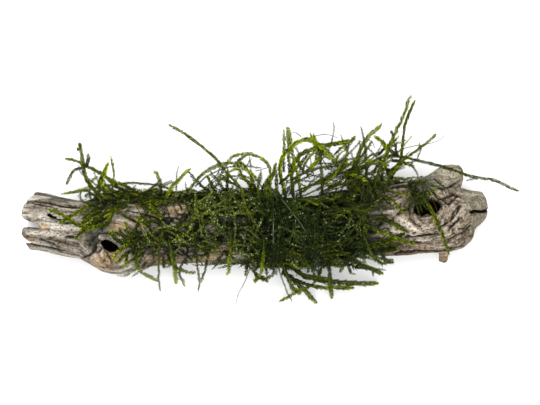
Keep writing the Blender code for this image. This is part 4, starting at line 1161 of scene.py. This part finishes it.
def mat_shoots():
    """The tangle of shoots that lies round the wood, kept under the tie where it passes."""
    tie_tree = tree_of("tie_line")
    grown = {name: [] for _, name in MAT_PIECES}
    for length in MAT_LENGTHS:
        steps, wanted = round(length / MAT_STEP), MAT_SHOOTS // len(MAT_LENGTHS)
        x, angle = mat_trails(wanted, steps)
        under = on_grid(wood_radius, x, angle)
        room = np.maximum(on_grid(mat_radius, x, angle) - under, THINNEST)
        flank = fade(-angle, -THIN_ANGLE, 0.3) * fade(x, THIN_START, 2) * fade(-x, -THIN_END, 2)
        room = room * (1 - THINNED * flank)
        share = np.linspace(0, 1, steps)
        upper = rng.random(wanted) < UPPER_LAYER
        crest = np.where(upper, varied(*TOP_CREST, wanted), varied(*LOW_CREST, wanted))
        lift = ENDS_LIFT + (room - 0.1) * crest[:, None] * np.sin(math.pi * (0.1 + 0.8 * share))
        lift = lift + TIP_RISE * (rng.random(wanted)[:, None] > 1 - RISING) * share**3 * (1 - flank)
        middle = np.concatenate([x[..., None], axis_at(x)], axis=-1)
        up = np.stack([np.zeros_like(angle), np.cos(angle), np.sin(angle)], axis=-1)
        for _ in range(2):
            points = middle + up * (under + lift)[..., None]
            flat = points.reshape(-1, 3)
            near = [tie_tree.find_nearest(Vector(point), TIE_ROOM)[3] or TIE_ROOM for point in flat]
            shows = np.any([reach_in(points, patch) < 1 for patch in TIE_SHOWS], axis=0)
            shows |= points[..., 2] < MIDDLE_HEIGHT
            press = TIE_PRESS * (TIE_ROOM - np.reshape(near, lift.shape)) * (shows + 0.1)
            lift = np.maximum(lift - press, LEAST_LIFT)
        points += MAT_BENDS * shifts(points * MAT_BEND_NOISE, 101, 1)
        bare = is_bare(points)
        centre = points.mean(axis=1)
        old = np.interp(centre[:, 0], *MAT_GROWTH.T[::2])
        old = old + BURIED_AGE * (0.5 - crest) + rng.normal(0, MAT_AGE_SPREAD, wanted)
        old = np.clip(old - FRESH_YOUTH * (rng.random(wanted) > 1 - FRESH_SHARE), YOUNGEST, 1)
        dark = (reach_in(centre, DARKEST) < 1) & (centre[:, 2] > MIDDLE_HEIGHT)
        old = np.where(dark, np.maximum(old, DARKEST_AGE), old)
        age = np.stack([np.minimum(old + ROOT_OLDER, 1), old - TIP_YOUNGER], axis=1)
        # Painted light on the shoots on top and painted shade on those under them, each with a random spread.
        tone = np.where(upper, varied(*TOP_PAINTED_LIGHT_TONE, wanted), varied(*LOW_PAINTED_SHADE_TONE, wanted))
        # How far each point lies out of the mat. Leaves deep in it are painted darker as shade.
        depth = np.clip(lift / np.maximum(room, 1.5), 0, 1)
        roll = rng.uniform(-math.pi, math.pi, wanted)
        kept = (bare.mean(axis=1) < MOST_BARE) & (x.min(axis=1) > MAT_END)
        before = -np.inf
        for edge, name in MAT_PIECES:
            here = kept & (x[:, 0] >= before) & (x[:, 0] < edge)
            before = edge
            if here.any():
                of_piece = [values[here] for values in (age, tone, roll, up, depth, bare)]
                grown[name].append(grow(points[here], "mat", *of_piece))
    return grown


def moss():
    green = moss_material("damp_java_moss", 1)
    young = moss_material("young_java_moss", 0)
    for name, grown in mat_shoots().items():
        moss_piece(name, grown, green, "moss", "moss_mat")
    sides = (("left", LEFT_SHOOTS), ("upper", UPPER_SHOOTS), ("right", RIGHT_SHOOTS), ("lower", LOWER_SHOOTS))
    for side, shoots in sides:
        nodes = [name for name in shoot_lines if name.startswith(side)]
        moss_piece("shoots_" + side, shoots_of(side, shoots), young, "young_moss", *nodes)
    stems = [stem for row in THICKETS for stem in thicket(*row)]
    moss_piece("shoots_loose", stems, young, "young_moss", "moss_mat")


moss()


# Tie


def clear_line_material():
    """Thin clear nylon line: glossy, painted pale as sheen where it lies free, and dark green where moss
    shows through it.
    """
    values = {"Roughness": 0.35, "IOR": 1.53, "Specular IOR Level": 0.08}
    material, tree, shader = new_material("clear_nylon_line", values)
    place_on = node(tree, "TexCoord", out="Object")
    height = node(tree, "SeparateXYZ", {0: place_on}, out="Z")
    flat = node(tree, "VectorMath", {0: place_on, 1: (1, 1, 0)}, operation="MULTIPLY")
    free = node(tree, "Math", {0: height, 1: MIDDLE_HEIGHT * MM}, operation="LESS_THAN")
    for *pixel, reach, _ in TIE_SHOWS:
        away = node(tree, "VectorMath", {0: flat, 1: (*place(pixel) * MM, 0)}, out=1, operation="DISTANCE")
        reach *= PX * MM
        near = node(tree, "MapRange", {0: away, 1: 1.25 * reach, 2: 0.9 * reach})
        free = node(tree, "Math", {0: free, 1: near}, operation="MAXIMUM")
    cloudy = node(tree, "TexNoise", {"Vector": place_on, "Scale": 400.0, "Detail": 1.0})
    # Painted sheen of the clear line, where it lies free.
    clear = node(tree, "ValToRGB", {"Fac": cloudy}, ((0.3, "#2C3624"), (0.7, "#5E6852")))
    grown = node(tree, "ValToRGB", {"Fac": cloudy}, ((0.3, "#10170C"), (0.7, "#232E14")))
    tint = node(tree, "Mix", {0: free, 6: grown, 7: clear}, out=2, data_type="RGBA")
    tree.links.new(tint, shader["Base Color"])
    return material


nylon = clear_line_material()
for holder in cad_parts["tie_line"].material_slots:
    holder.material = nylon


# Stage


def studio():
    """A plain pale floor, a soft white surround and two large soft lights. The floor is matte paper, which
    gives an even white with no shine."""
    bpy.ops.object.select_all(action="DESELECT")
    bpy.ops.mesh.primitive_plane_add(size=FLOOR_SIZE * MM)
    floor = bpy.context.active_object
    floor.name = "floor"
    material, _, _ = new_material("matte_white_paper", {"Base Color": "#FAFAFA", "Roughness": 0.9})
    floor.data.materials.append(material)

    world = bpy.data.worlds.new("soft_surround")
    bpy.context.scene.world = world
    world.use_nodes = True
    background = world.node_tree.nodes["Background"]
    background.inputs["Color"].default_value = colour("#FFFFFF")
    background.inputs["Strength"].default_value = SURROUND_STRENGTH

    for name, power, size, spot in LAMPS:
        lamp = bpy.data.lights.new(name, "AREA")
        lamp.shape = "SQUARE"
        lamp.size = size * MM
        lamp.energy = power
        holder = bpy.data.objects.new(name, lamp)
        holder.location = Vector(spot) * MM
        holder.rotation_euler = Vector(spot).to_track_quat("Z", "Y").to_euler()
        bpy.context.scene.collection.objects.link(holder)


def camera():
    """Straight above the middle of the picture, far away with a long lens."""
    lens = bpy.data.cameras.new("camera")
    lens.lens = LENS
    lens.sensor_width = SENSOR
    x, y = place(PHOTO_CENTRE)
    distance = PHOTO_WIDTH * PX * LENS / SENSOR
    holder = bpy.data.objects.new("camera", lens)
    holder.location = Vector((x, y, distance + SHARP_HEIGHT)) * MM
    lens.clip_end = 10 * distance * MM
    bpy.context.scene.collection.objects.link(holder)
    bpy.context.scene.camera = holder


studio()
camera()
bpy.context.scene.view_settings.view_transform = "Standard"
